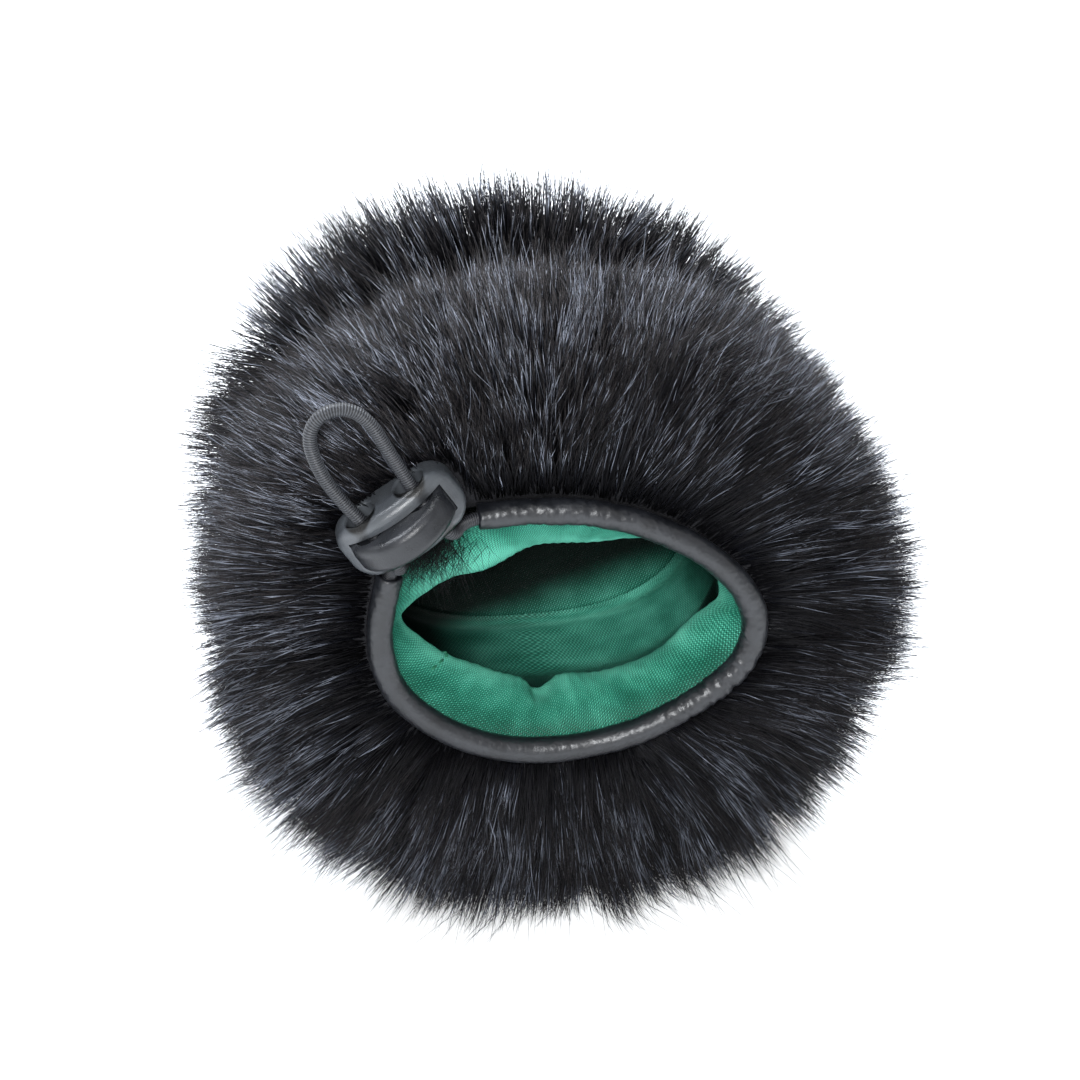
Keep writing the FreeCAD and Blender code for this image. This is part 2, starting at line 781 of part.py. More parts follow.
def is_hole_rim(edge):
    """Picks the round rims of the cord holes."""
    round_edge = isinstance(edge.Curve, Part.Circle) and abs(edge.Curve.Radius - size("hole_radius")) < SAME
    return round_edge and is_flat_at(size("barrel_half_height"))(edge)


round_edges(barrel, "barrel_ends", "Sizes.barrel_end_round", runs_back)
round_edges(barrel, "barrel_rims", "Sizes.barrel_rim_round", lambda edge: not runs_back(edge))
holes = new_sketch(barrel, "cord_holes", "XY_Plane")
draw_circle(holes, "half_spacing", None, "hole_radius")
draw_circle(holes, "-half_spacing", None, "hole_radius")
pocket(barrel, "cord_hole_cut", holes, "Sizes.barrel_height", midplane=True)
round_edges(barrel, "hole_lips", "Sizes.hole_lip", is_hole_rim)

slot = new_sketch(barrel, "plunger_slot", "XZ_Plane", offset="-slot_back")
draw_rectangle(slot, "slot_half_length", "slot_half_height")
pocket(barrel, "plunger_slot_cut", slot, "Sizes.slot_back + Sizes.barrel_front")
spigot = new_sketch(barrel, "spring_spigot", "XZ_Plane", offset="-slot_back")
draw_circle(spigot, None, None, "spigot_radius")
pad(barrel, "spring_spigot_post", spigot, "Sizes.spigot_length", midplane=False)
finish_piece(barrel, "lock_barrel")

# Cord lock plunger

plunger = new_body("plunger_body", in_lock=True)
face = new_sketch(plunger, "plunger_plan", "XY_Plane")
draw_outline(
    face,
    [
        ("-plunger_half_length", "-plunger_face_corner"),
        ("plunger_half_length", "-plunger_face_corner"),
        ("plunger_half_length", "plunger_back"),
        ("-plunger_half_length", "plunger_back"),
    ],
    {0: "plunger_face_radius"},
)
pad(plunger, "plunger_block", face, "Sizes.plunger_height")


def is_press_edge(edge):
    """Picks the long bowed edges of the face that the finger presses."""
    bowed = isinstance(edge.Curve, Part.Circle) and edge.BoundBox.YMax < -size("barrel_front_corner")
    return bowed and is_flat_at(size("plunger_half_height"))(edge)


round_edges(plunger, "press_face_edges", "Sizes.plunger_round", is_press_edge)
windows = new_sketch(plunger, "cord_windows", "XY_Plane")
draw_circle(windows, "half_spacing", "-window_shift", "hole_radius")
draw_circle(windows, "-half_spacing", "-window_shift", "hole_radius")
pocket(plunger, "cord_window_cut", windows, "Sizes.plunger_height", midplane=True)
seat = new_sketch(plunger, "spring_seat", "XZ_Plane", offset="-plunger_back")
draw_circle(seat, None, None, "pocket_radius")
pocket(plunger, "spring_seat_cut", seat, "Sizes.pocket_depth")
finish_piece(plunger, "lock_plunger")

# Spring between barrel and plunger, wound on arcs


def bend(start, corner, end):
    """The arc that touches two equal straight lines at their far ends."""
    middle = (start + end) / 2
    reach = (corner - start).Length
    depth = (corner - middle).Length
    radius = (middle - start).Length * reach / depth
    way = (middle - corner).normalize()
    return Part.Arc(start, corner + way * (math.hypot(radius, reach) - radius), end).toShape()


def coil_path(radius, length, turns, back, steps=4):
    """A helix along -Y from a place behind, each quarter turn as two arcs that share a tangent."""
    rise = length / (turns * 2 * math.pi)
    joints = []
    for i in range(round(turns * steps) + 1):
        angle = 2 * math.pi * i / steps
        point = Vector(radius * math.cos(angle), back - rise * angle, radius * math.sin(angle))
        way = Vector(-radius * math.sin(angle), -rise, radius * math.cos(angle)).normalize()
        joints.append((point, way))
    edges = []
    for (start, way_in), (end, way_out) in zip(joints, joints[1:]):
        span = end - start
        both = way_in + way_out
        a = 2 * (way_in.dot(way_out) - 1)
        b = -2 * span.dot(both)
        c = span.dot(span)
        reach = (-b - math.sqrt(b * b - 4 * a * c)) / (2 * a)
        first, second = start + way_in * reach, end - way_out * reach
        middle = (first + second) / 2
        edges += [bend(start, first, middle), bend(middle, second, end)]
    return Part.Wire(edges)


half_wire = size("spring_wire") / 2
spring_length = size("spring_front") + size("spring_back") - size("spring_wire")
coil = coil_path(size("spring_radius"), spring_length, size("spring_turns"), size("spring_back") - half_wire)
pitch = spring_length / size("spring_turns")
print(f"spring: pitch {pitch:.2f}, least gap to itself {pitch - size('spring_wire'):.2f}")
spring = add_shape("spring_coil", tube_along(coil, size("spring_wire"), "lock_spring"))
place_in_lock(spring)
finish_piece(spring, "lock_spring")

# Checks, then one file for each piece

doc.recompute()
for thing in doc.Objects:
    if "Invalid" in thing.State or "Error" in thing.State:
        raise ValueError(f"{thing.Label} failed: {thing.State}")
os.makedirs("parts", exist_ok=True)
for name, piece in pieces.items():
    shape = piece.Shape
    if shape.isNull() or not shape.isValid() or not shape.Solids:
        raise ValueError(f"{name} has no valid solid")
for name, piece in pieces.items():
    piece.Shape.exportStep(f"parts/{name}.step")
    box = piece.Shape.optimalBoundingBox(False)
    print(f"{name}: {len(piece.Shape.Solids)} solid, {piece.Shape.Volume:.1f} mm3, "
          f"x {box.XMin:.1f} {box.XMax:.1f} y {box.YMin:.1f} {box.YMax:.1f} z {box.ZMin:.1f} {box.ZMax:.1f}")
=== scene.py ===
from math import ceil, cos, pi, radians, sin

import bpy
import numpy as np
from mathutils import Matrix, Vector, kdtree, noise
from numpy.linalg import norm


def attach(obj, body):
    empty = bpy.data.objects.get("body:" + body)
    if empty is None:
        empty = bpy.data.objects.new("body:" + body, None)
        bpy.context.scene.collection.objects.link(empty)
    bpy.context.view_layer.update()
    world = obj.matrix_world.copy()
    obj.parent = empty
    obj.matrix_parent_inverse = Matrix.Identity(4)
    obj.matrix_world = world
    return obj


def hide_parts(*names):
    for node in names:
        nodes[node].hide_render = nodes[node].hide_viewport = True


# A long-pile fur wind cover for a small microphone, lying on its side with its mouth towards the
# camera. Lengths are in millimetres, heights are from the bag's own axis, and placed() turns them
# into the frame's metres.

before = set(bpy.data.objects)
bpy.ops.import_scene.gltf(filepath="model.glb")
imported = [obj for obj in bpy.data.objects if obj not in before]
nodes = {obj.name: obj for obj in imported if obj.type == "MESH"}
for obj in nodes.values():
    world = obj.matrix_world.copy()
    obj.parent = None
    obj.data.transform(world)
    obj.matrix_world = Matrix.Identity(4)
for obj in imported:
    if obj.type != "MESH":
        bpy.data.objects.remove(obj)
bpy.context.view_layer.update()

MM = 0.001
AXIS_HEIGHT = 58.0
MIDDLE = Vector((0, 0, AXIS_HEIGHT * MM))
MOUTH_PLANE = -36.0
CORD_DIAMETER = 2.4
PIPING_RADIUS = 2.3

# The mouth's route as the source has it, clockwise from right of the lock to below it, and the two
# points that close its outline behind the lock
MOUTH_ROUTE = [
    (-15.4, 25.5), (-6.5, 26.2), (6.0, 24.6), (18.5, 19.4), (28.5, 11.0), (33.2, 1.8),
    (30.4, -7.4), (20.5, -15.0), (7.0, -20.6), (-8.5, -21.2), (-21.5, -16.2), (-30.5, -7.6),
    (-33.2, 2.6), (-32.0, 11.0), (-30.9, 15.5),
]
MOUTH_CORNER = [(-28.2, 21.4), (-22.4, 24.9)]
MOUTH_RISE = 2.5

# The crease where the lining's front band meets the bag's side lining, anticlockwise from the right
CREASE = [
    (29.5, -1.9), (29.0, 2.5), (26.2, 6.2), (22.0, 9.6), (14.1, 12.0), (7.7, 11.2), (0.6, 11.8),
    (-4.6, 11.8), (-9.8, 8.7), (-13.3, 7.0), (-18.5, 6.7), (-23.8, 3.3), (-27.6, 0.2),
    (-27.3, -2.0), (-24.7, -4.8), (-20.3, -9.8), (-15.1, -12.7), (-11.5, -14.8), (-6.2, -16.5),
    (-3.5, -17.6), (0.9, -16.2), (8.1, -16.8), (15.2, -14.6), (18.8, -13.0), (22.4, -9.9),
    (25.8, -5.0),
]
CREASE_RISE = -2.0
CREASE_PLANE = -21.0
SEAM_PLANE = -19.2


def placed(points):
    """Points in the frame's metres from millimetres and heights about the bag's axis."""
    return (np.asarray(points, float) + (0.0, 0.0, AXIS_HEIGHT)) * MM


# Camera: the photograph's view, from above and a little to the left


def direction_to(azimuth, elevation):
    """The way from the cover to an eye or a lamp, with azimuth from the front to the right."""
    a, e = radians(azimuth), radians(elevation)
    return Vector((sin(a) * cos(e), -cos(a) * cos(e), sin(e)))


def aim_camera(azimuth, elevation, distance, lens, shift_right, shift_up):
    turned = radians(azimuth)
    right = Vector((cos(turned), sin(turned), 0))
    back = direction_to(azimuth, elevation)
    up = back.cross(right)
    data = bpy.data.cameras.new("camera")
    data.lens, data.sensor_width = lens, 36.0
    data.clip_start, data.clip_end = 0.01, 20.0
    camera = bpy.data.objects.new("camera", data)
    bpy.context.scene.collection.objects.link(camera)
    turn = Matrix((right, up, back)).transposed().to_4x4()
    aim = MIDDLE + right * shift_right + up * shift_up
    camera.matrix_world = Matrix.Translation(aim + back * distance) @ turn
    bpy.context.scene.camera = camera


aim_camera(azimuth=-9, elevation=28, distance=0.75, lens=140, shift_right=0.00054, shift_up=0.00089)


# Lines, tubes and meshes


def smooth_line(points, closed=False):
    """Points along the NURBS spline that has the given control points."""
    data = bpy.data.curves.new("line", "CURVE")
    data.dimensions = "3D"
    spline = data.splines.new("NURBS")
    spline.points.add(len(points) - 1)
    for point, place in zip(spline.points, points):
        point.co = (*place, 1.0)
    spline.order_u = 3
    spline.use_cyclic_u = closed
    spline.use_endpoint_u = not closed
    spline.resolution_u = 24
    thing = bpy.data.objects.new("line", data)
    mesh = bpy.data.meshes.new_from_object(thing)
    line = np.array([v.co for v in mesh.vertices], float)
    bpy.data.objects.remove(thing)
    bpy.data.curves.remove(data)
    bpy.data.meshes.remove(mesh)
    return line


def evenly(line, step):
    """The same line with its points about one step apart, and their distances along it."""
    run = np.concatenate([[0.0], np.cumsum(norm(np.diff(line, axis=0), axis=1))])
    along = np.linspace(0.0, run[-1], round(run[-1] / step) + 1)
    return np.column_stack([np.interp(along, run, line[:, k]) for k in range(3)]), along


def line_length(line):
    return norm(np.diff(line, axis=0), axis=1).sum()


def mesh_piece(name, points, faces, map_places=None):
    """A piece from arrays of points and faces. map_places gives each face corner's place on its map."""
    faces = np.asarray(faces, np.int32)
    mesh = bpy.data.meshes.new(name)
    mesh.vertices.add(len(points))
    mesh.vertices.foreach_set("co", placed(points).astype(np.float32).ravel())
    mesh.loops.add(faces.size)
    mesh.loops.foreach_set("vertex_index", faces.ravel())
    mesh.polygons.add(len(faces))
    mesh.polygons.foreach_set("loop_start", np.arange(0, faces.size, faces.shape[1], dtype=np.int32))
    mesh.polygons.foreach_set("use_smooth", np.ones(len(faces), bool))
    if map_places is not None:
        layer = mesh.uv_layers.new(name="OFBake")
        layer.data.foreach_set("uv", np.asarray(map_places, np.float32).ravel())
    mesh.update()
    mesh.validate()
    thing = bpy.data.objects.new(name, mesh)
    bpy.context.scene.collection.objects.link(thing)
    return thing


def frames_along(line):
    """A line's direction at each point and two directions across it, without needless twist."""
    way = np.gradient(line, axis=0)
    way /= norm(way, axis=1, keepdims=True)
    side = np.zeros_like(way)
    start = np.array([0.0, 0.0, 1.0] if abs(way[0, 1]) > 0.9 else [0.0, -1.0, 0.0])
    for i, direction in enumerate(way):
        start = start - direction * (start @ direction)
        start /= norm(start)
        side[i] = start
    return way, side, np.cross(way, side)


def turns(count):
    """The angles that part a full turn evenly."""
    return np.arange(count) * 2 * pi / count


def spokes(side, other, count):
    """Even directions round a line at each of its points, from two directions across it."""
    angle = turns(count)[None, :, None]
    return side[:, None, :] * np.cos(angle) + other[:, None, :] * np.sin(angle)


def tube(name, line, radii, rims):
    """A closed tube round a line. radii has a row for each point and a column for each side. rims are
    the rings that close each end, as how far each stands beyond the line's end and its radius."""
    sides = radii.shape[1]
    way, side, other = frames_along(line)
    across = spokes(side, other, sides)
    body = line[:, None, :] + across * radii[:, :, None]
    first = [line[0] - way[0] * out + across[0] * radius for out, radius in reversed(rims)]
    last = [line[-1] + way[-1] * out + across[-1] * radius for out, radius in rims]
    rings = np.array([*first, *body, *last])
    bands = len(rings) - 1
    i, j = np.meshgrid(np.arange(bands), np.arange(sides), indexing="ij")
    this_ring, next_ring, beside = i * sides, (i + 1) * sides, (j + 1) % sides
    quads = np.stack([this_ring + j, this_ring + beside, next_ring + beside, next_ring + j], axis=-1)
    u0, v0 = i / bands, j / sides
    u1, v1 = (i + 1) / bands, (j + 1) / sides
    places = np.stack([u0, v0, u0, v1, u1, v1, u1, v0], axis=-1)
    thing = mesh_piece(name, rings.reshape(-1, 3), quads.reshape(-1, 4), places.reshape(-1, 2))
    close_ends(thing)
    return thing


def close_ends(thing):
    """Fills the open rings of a tube."""
    bpy.ops.object.select_all(action="DESELECT")
    bpy.context.view_layer.objects.active = thing
    thing.select_set(True)
    bpy.ops.object.mode_set(mode="EDIT")
    bpy.ops.mesh.select_mode(type="EDGE")
    bpy.ops.mesh.select_all(action="DESELECT")
    bpy.ops.mesh.select_non_manifold(extend=False)
    bpy.ops.mesh.edge_face_add()
    bpy.ops.mesh.select_all(action="SELECT")
    bpy.ops.mesh.normals_make_consistent(inside=False)
    bpy.ops.object.mode_set(mode="OBJECT")


def merge_doubles(threshold):
    """Merges the active piece's points that are this close, and turns its faces to one side."""
    bpy.ops.object.mode_set(mode="EDIT")
    bpy.ops.mesh.select_all(action="SELECT")
    bpy.ops.mesh.remove_doubles(threshold=threshold)
    bpy.ops.mesh.normals_make_consistent(inside=False)
    bpy.ops.object.mode_set(mode="OBJECT")


def thicken(sheet, thickness):
    """Adds the back of a sheet, this far behind its faces."""
    solid = sheet.modifiers.new("thickness", "SOLIDIFY")
    solid.thickness, solid.offset = thickness * MM, -1.0
    bpy.ops.object.modifier_apply(modifier=solid.name)
    bpy.ops.object.shade_smooth()


# Drawcord: elastic core in a ribbed sleeve, out of the piping's ends and up through the lock

# How far the cord's ends lie inside the piping, where the cord turns towards the lock, the lock's
# middle and lean, the plane of the cord's legs, and the lock's two holes
TUCK = 2.5
TURN_RIGHT, TURN_LEFT = (-18.4, 25.3), (-30.5, 17.9)
LOCK_PLACE, LOCK_LEAN = (-29.1, 28.2), radians(33.6)
CORD_PLANE = -41.55
HOLE_OFFSET, HOLE_RADIUS = 4.9, 2.8


def at_mouth(x, height):
    return np.array([x, MOUTH_PLANE, height])


def in_lock(along, up):
    """A point on the cord's plane, from the middle of the lock."""
    x = LOCK_PLACE[0] + along * cos(LOCK_LEAN) - up * sin(LOCK_LEAN)
    height = LOCK_PLACE[1] + along * sin(LOCK_LEAN) + up * cos(LOCK_LEAN)
    return np.array([x, CORD_PLANE, height])


def drawn_in(end, following):
    """An end of the mouth's route, drawn in along its first run."""
    way = np.array(following) - np.array(end)
    return at_mouth(*(np.array(end) + way / norm(way) * TUCK))


cord_start = drawn_in(MOUTH_ROUTE[0], MOUTH_ROUTE[1])
cord_end = drawn_in(MOUTH_ROUTE[-1], MOUTH_ROUTE[-2])
# Up through the right hole, round the loop and down through the left hole
LEGS_AND_LOOP = [
    (HOLE_OFFSET, -7.6), (HOLE_OFFSET, 2.0), (5.8, 13.0), (6.5, 19.0), (5.0, 23.4), (0.9, 25.2),
    (-3.2, 23.2), (-5.2, 17.4), (-5.7, 11.5), (-HOLE_OFFSET, 2.0), (-HOLE_OFFSET, -7.6),
]
above_piping = [in_lock(*p) for p in LEGS_AND_LOOP]
LOOP_ROUTE = [cord_start, at_mouth(*TURN_RIGHT), *above_piping, at_mouth(*TURN_LEFT), cord_end]
CHANNEL_ROUTE = [cord_start, *[at_mouth(*p) for p in MOUTH_ROUTE[1:-1]], cord_end]

RIB_PITCH, RIB_DEPTH = 0.45, 0.15


def ribbed_cord(name, route, sides=14, step=0.08):
    """A cord along a route, wound with fine slanting ribs."""
    line, along = evenly(smooth_line(route), step)
    rib = np.cos(2 * pi * along[:, None] / RIB_PITCH + turns(sides)[None, :])
    radii = CORD_DIAMETER / 2 - RIB_DEPTH * (0.5 - 0.5 * rib)
    return tube(name, line, radii, rims=[(0.15, 0.8)]), line


drawcord, drawcord_line = ribbed_cord("elastic_drawcord", LOOP_ROUTE)
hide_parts("drawcord_loop")
channel_cord, channel_line = ribbed_cord("channel_drawcord", CHANNEL_ROUTE, sides=10, step=0.12)
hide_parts("drawcord_in_channel")


# Piping: a leather-look tube, wrinkled where the mouth bends


def bump(value, middle, width):
    """A soft hill of height one."""
    return np.exp(-(((value - middle) / width) ** 2))


def leather_creases(along, turn):
    """How far the piping's skin stands out or in, by distance along it and angle round it. It is
    creased most along the top, below the right end and next to the lock."""
    gather = 0.25 + 0.75 * bump(along, 16, 16) + 1.4 * bump(along, 71, 13)
    gather += 0.5 * bump(along, along[-1] - 4, 6)
    rise = np.zeros((len(along), len(turn)))
    for i, s in enumerate(along):
        for j, t in enumerate(turn):
            place = Vector((s * 0.8, cos(t) * 0.75, sin(t) * 0.75))
            fold = 1 - 2 * abs(noise.noise(place + Vector((0, 7, 0))))
            lump = noise.noise(Vector((s * 0.16, cos(t) * 0.6, sin(t) * 0.6)))
            rise[i, j] = 0.20 * gather[i] * (fold - 0.6) + 0.18 * lump
    return rise


piping_line, piping_along = evenly(smooth_line([at_mouth(*p) for p in MOUTH_ROUTE]), 0.36)
piping_turn = turns(36)
piping_radii = PIPING_RADIUS + leather_creases(piping_along, piping_turn)
flare = bump(piping_along, 0, 1.6) + bump(piping_along, piping_along[-1], 1.6)
piping_radii += 0.22 * flare[:, None] * np.cos(3 * piping_turn + 0.6)[None, :]
piping_rims = [(0.3, 2.05), (0.2, 1.75), (-0.3, 1.5), (-2.2, 1.42)]
piping = tube("piping_leather", piping_line, piping_radii, piping_rims)
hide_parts("mouth_piping")


# Outlines of the mouth and the crease as a distance from their middle at each angle


def polar_outline(route, middle_height):
    line = smooth_line([(x, 0.0, height) for x, height in route], closed=True)
    x, height = line[:, 0], line[:, 2] - middle_height
    angle = np.arctan2(height, x) % (2 * pi)
    order = np.argsort(angle)
    angle, reach = angle[order], np.hypot(x, height)[order]
    return lambda at: np.interp(at, angle, reach, period=2 * pi)


mouth_reach = polar_outline(MOUTH_ROUTE + MOUTH_CORNER, MOUTH_RISE)
crease_reach = polar_outline(CREASE, CREASE_RISE)


# Lining: sheets of green knit, each started as its flat cut and wrapped into place

BAG_HALF_WIDTH, BAG_HALF_HEIGHT = 32.4, 23.8
SECTION_FILL = 0.78
# How far down the front band its crest lies, and how far down the side lining and on which plane it
# starts to round into the end
BAND_CREST = 0.76
SIDE_BEND, BEND_PLANE = 0.72, 11.4
CLOTH_THICKNESS = 0.6


def soft_step(value):
    value = np.clip(value, 0, 1)
    return value * value * (3 - 2 * value)


def oval(angle, half_width, half_height, y, rise=0.0):
    x, height = half_width * np.cos(angle), rise + half_height * np.sin(angle)
    return np.stack(np.broadcast_arrays(x, y, height), axis=-1)


def bag_section(angle, half_width, half_height, y):
    """The bag's own section: an oval whose corners are filled out."""
    x = np.sign(np.cos(angle)) * np.abs(np.cos(angle)) ** SECTION_FILL
    height = np.sign(np.sin(angle)) * np.abs(np.sin(angle)) ** SECTION_FILL
    return np.stack(np.broadcast_arrays(half_width * x, y, half_height * height), axis=-1)


def mouth_ring(angle, inset, y):
    reach = mouth_reach(angle) - inset
    return oval(angle, reach, reach, y, MOUTH_RISE)


def crease_ring(angle):
    reach = crease_reach(angle)
    return oval(angle, reach, reach, CREASE_PLANE, CREASE_RISE)


def lowness(angle):
    """One along the bottom of the bag, and none along its top."""
    degrees = np.degrees(angle) % 360
    return soft_step((degrees - 175) / 40) * soft_step((372 - degrees) / 30)


def tucked_ring(angle, y):
    """The seam behind the crease: below, the band rolls over it and hides it."""
    reach = crease_reach(angle) + 0.4 + 1.1 * lowness(angle)
    return oval(angle, reach, reach, y, CREASE_RISE)


def band_cloth(angle, down):
    """The front band from under the piping (0) over the crease that the eye sees to its seam (1)."""
    start, crest = mouth_ring(angle, 1.2, MOUTH_PLANE + 1.6), crease_ring(angle)
    seam = tucked_ring(angle, SEAM_PLANE)
    low = lowness(angle)
    degrees = np.degrees(angle) % 360
    over = np.clip(down / BAND_CREST, 0, 1)
    share = soft_step(over)[..., None] * 0.35 + over[..., None] * 0.65
    place = start + (crest - start) * share
    place += (seam - crest) * soft_step((down - BAND_CREST) / (1 - BAND_CREST))[..., None]
    pinch = bump(degrees, 257, 9)
    dimple = 1 - 0.5 * pinch * soft_step((down - 0.15) / 0.4)
    right_folds = 0.3 * np.sin(degrees * 0.42 + 1.0) * bump(degrees, 318, 30)
    folds = right_folds + 0.22 * np.sin(degrees * 0.31) * low
    arch = np.sin(pi * np.minimum(down / 0.9, 1)) ** 0.8
    swell = (2.9 * low * dimple + folds * (1 - over) + 0.6) * arch
    ripple = 0.1 * np.sin(degrees * 0.9 + 5 * down) * np.sin(pi * down)
    sink = 0.9 * pinch * soft_step((down - 0.3) / 0.4) * low
    inward = sink - (swell + ripple)
    place[..., 0] += inward * np.cos(angle)
    place[..., 2] += inward * np.sin(angle)
    return place


def side_cloth(angle, down):
    """The side lining from its seam (0) along the bag and round into its end (1)."""
    widen = soft_step(down / 0.4)[..., None]
    narrow = np.clip((down - SIDE_BEND) / (1 - SIDE_BEND), 0, 1)
    corner = 2.2 * (1 - np.sqrt(1 - narrow**2 * 0.98))
    straight = SEAM_PLANE + (BEND_PLANE - SEAM_PLANE) * down / SIDE_BEND
    y = np.where(down > SIDE_BEND, BEND_PLANE + 2.8 * np.sin(narrow * pi / 2), straight)
    sag = 0.5 * np.sin(3 * angle + 1.2) * np.sin(pi * np.clip(down, 0, 1))
    full = bag_section(angle, BAG_HALF_WIDTH - corner + sag, BAG_HALF_HEIGHT - corner + sag * 0.6, y)
    near = tucked_ring(angle, y)
    return near + (full - near) * widen


def end_cloth(angle, inward):
    """The end lining from its seam (0), just outside the side lining's edge, to the middle (1)."""
    reach = (1 - inward) * 0.999 + 0.001
    y = 14.25 + 0.8 * np.sin(pi / 2 * inward) + 0.25 * np.sin(2 * angle) * reach**2 * inward
    return bag_section(angle, (BAG_HALF_WIDTH - 1.6) * reach, (BAG_HALF_HEIGHT - 1.6) * reach, y)


def wrapped_cloth(name, columns, rows, wrap):
    """A flat sheet with its map, wrapped once round the bag by a rule, and given its thickness."""
    bpy.ops.object.select_all(action="DESELECT")
    bpy.ops.mesh.primitive_grid_add(x_subdivisions=columns, y_subdivisions=rows, size=1, calc_uvs=True)
    cloth = bpy.context.object
    cloth.name = cloth.data.name = name
    flat = np.array([v.co for v in cloth.data.vertices], float)
    points = placed(wrap((flat[:, 0] + 0.5) * 2 * pi, flat[:, 1] + 0.5))
    cloth.data.vertices.foreach_set("co", points.astype(np.float32).ravel())
    cloth.data.uv_layers[0].name = "OFBake"
    merge_doubles(0.00002)
    face_to_the_inside(cloth)
    thicken(cloth, CLOTH_THICKNESS)
    return cloth


def face_to_the_inside(cloth):
    """Turns the sheet so that its faces look into the bag before its back is added."""
    middle = Vector((0, -0.012, AXIS_HEIGHT * MM))
    face = cloth.data.polygons[len(cloth.data.polygons) // 2]
    if face.normal.dot(middle - face.center) < 0:
        bpy.ops.object.mode_set(mode="EDIT")
        bpy.ops.mesh.select_all(action="SELECT")
        bpy.ops.mesh.flip_normals()
        bpy.ops.object.mode_set(mode="OBJECT")


lining_band = wrapped_cloth("front_band_knit", 240, 26, band_cloth)
lining_side = wrapped_cloth("side_lining_knit", 200, 44, side_cloth)
lining_end = wrapped_cloth("end_lining_knit", 120, 22, end_cloth)
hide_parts("lining_front_band")
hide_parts("lining_side")
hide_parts("lining_end")


# Undercoat: the dense short hair that the pile stands in, one shell for each fur panel

# Stations along the bag from the mouth to the middle of its end: radius, place along the axis, how
# far the hair leans towards the mouth from straight out (degrees), and its length
STATIONS = np.array([
    (36.0, -34.4, 16, 17.0), (44.5, -34.0, 13, 18.0), (49.0, -29.0, 6, 16.6),
    (49.5, -20.0, 0, 14.9), (49.5, -9.0, -3, 13.6), (48.5, 2.0, -3, 10.6),
    (44.0, 10.0, -6, 7.8), (41.0, 15.6, -22, 7.0), (41.0, 15.7, 24, 8.2),
    (45.5, 20.8, 9, 14.4), (47.5, 27.5, -10, 16.2), (43.0, 36.0, -40, 14.8),
    (33.0, 41.5, -60, 12.5), (20.0, 44.0, -74, 10.5), (0.3, 44.8, -88, 9.5),
])
# The first and the last station of each panel
PANELS = {"front": (0, 3), "side": (3, 7), "cap": (8, 14)}
PANEL_NODES = {"front": "fur_front_panel", "side": "fur_side_panel", "cap": "fur_end_cap"}
UNDERCOAT_THICKNESS = 1.2


def station(at):
    """Radius, place, lean and length between stations."""
    return [np.interp(at, np.arange(len(STATIONS)), STATIONS[:, k]) for k in range(4)]


def coat_point(at, angle):
    """A point on the undercoat. Its first ring follows the piping, and the others are round."""
    radius, y, _, _ = station(at)
    edge = mouth_reach(angle) + 1.5
    near = np.clip(1 - at, 0, 1)
    edge_x, edge_height = edge * np.cos(angle), MOUTH_RISE + edge * np.sin(angle)
    x = radius * np.cos(angle) * (1 - near) + edge_x * near
    height = radius * np.sin(angle) * (1 - near) + edge_height * near
    return np.stack(np.broadcast_arrays(x, y, height), axis=-1)


def undercoat(panel, columns=128, rows_each=4):
    """The shell of one panel: a ring, extruded from station to station and shaped to the mouth."""
    first, last = PANELS[panel]
    rows = np.linspace(first, last, (last - first) * rows_each + 1)
    bpy.ops.object.select_all(action="DESELECT")
    bpy.ops.mesh.primitive_circle_add(vertices=columns, radius=1.0, fill_type="NOTHING")
    shell = bpy.context.object
    shell.name = shell.data.name = panel + "_undercoat"
    bpy.ops.object.mode_set(mode="EDIT")
    bpy.ops.mesh.select_all(action="SELECT")
    for _ in rows[1:]:
        bpy.ops.mesh.extrude_region_move(TRANSFORM_OT_translate={"value": (0, 0, 1.0)})
    bpy.ops.object.mode_set(mode="OBJECT")
    places = np.array([v.co for v in shell.data.vertices], float)
    angle = np.arctan2(places[:, 1], places[:, 0])
    points = placed(coat_point(rows[np.rint(places[:, 2]).astype(int)], angle))
    shell.data.vertices.foreach_set("co", points.astype(np.float32).ravel())
    merge_doubles(0.00005)
    face = shell.data.polygons[0]
    if face.normal.dot(face.center - MIDDLE) < 0:
        shell.data.flip_normals()
    thicken(shell, UNDERCOAT_THICKNESS)
    return shell


# Pile: hairs that gather in locks, the locks in tufts, as tapered spikes

rng = np.random.default_rng(41)
# How far hair starts below the undercoat's face, and how many short and guard hairs each panel has
ROOT_DEPTH = 0.8
HAIR_COUNTS = {"front": (23000, 21500), "side": (22500, 21000), "cap": (20500, 18500)}
LOCK_SPACING, TUFT_SPACING = 2.7, 11.0


def panel_cells(panel, rows, columns):
    """Stations and angles of a grid over a panel, and the area of each of its cells."""
    at = np.linspace(*PANELS[panel], rows + 1)
    angle = np.linspace(0, 2 * pi, columns + 1)
    grid = coat_point(at[:, None], angle[None, :])
    one = grid[1:, :-1] - grid[:-1, :-1]
    two = grid[:-1, 1:] - grid[:-1, :-1]
    return at, angle, norm(np.cross(one, two), axis=-1)


def scatter(panel, count, rows=140, columns=240):
    """Stations and angles of roots spread evenly over a panel."""
    at, angle, area = panel_cells(panel, rows, columns)
    run = np.cumsum(area.ravel())
    cell = np.searchsorted(run, rng.random(count) * run[-1])
    row, column = cell // columns, cell % columns
    step_at, step_angle = at[1] - at[0], angle[1]
    return at[row] + rng.random(count) * step_at, angle[column] + rng.random(count) * step_angle


def directions(at, angle, sway, tip):
    """Unit directions of hairs. sway turns them round the bag and tip along it, in radians."""
    lean = np.radians(station(at)[2]) + tip
    around = angle + sway
    return np.stack([np.cos(lean) * np.cos(around), -np.sin(lean), np.cos(lean) * np.sin(around)], axis=-1)


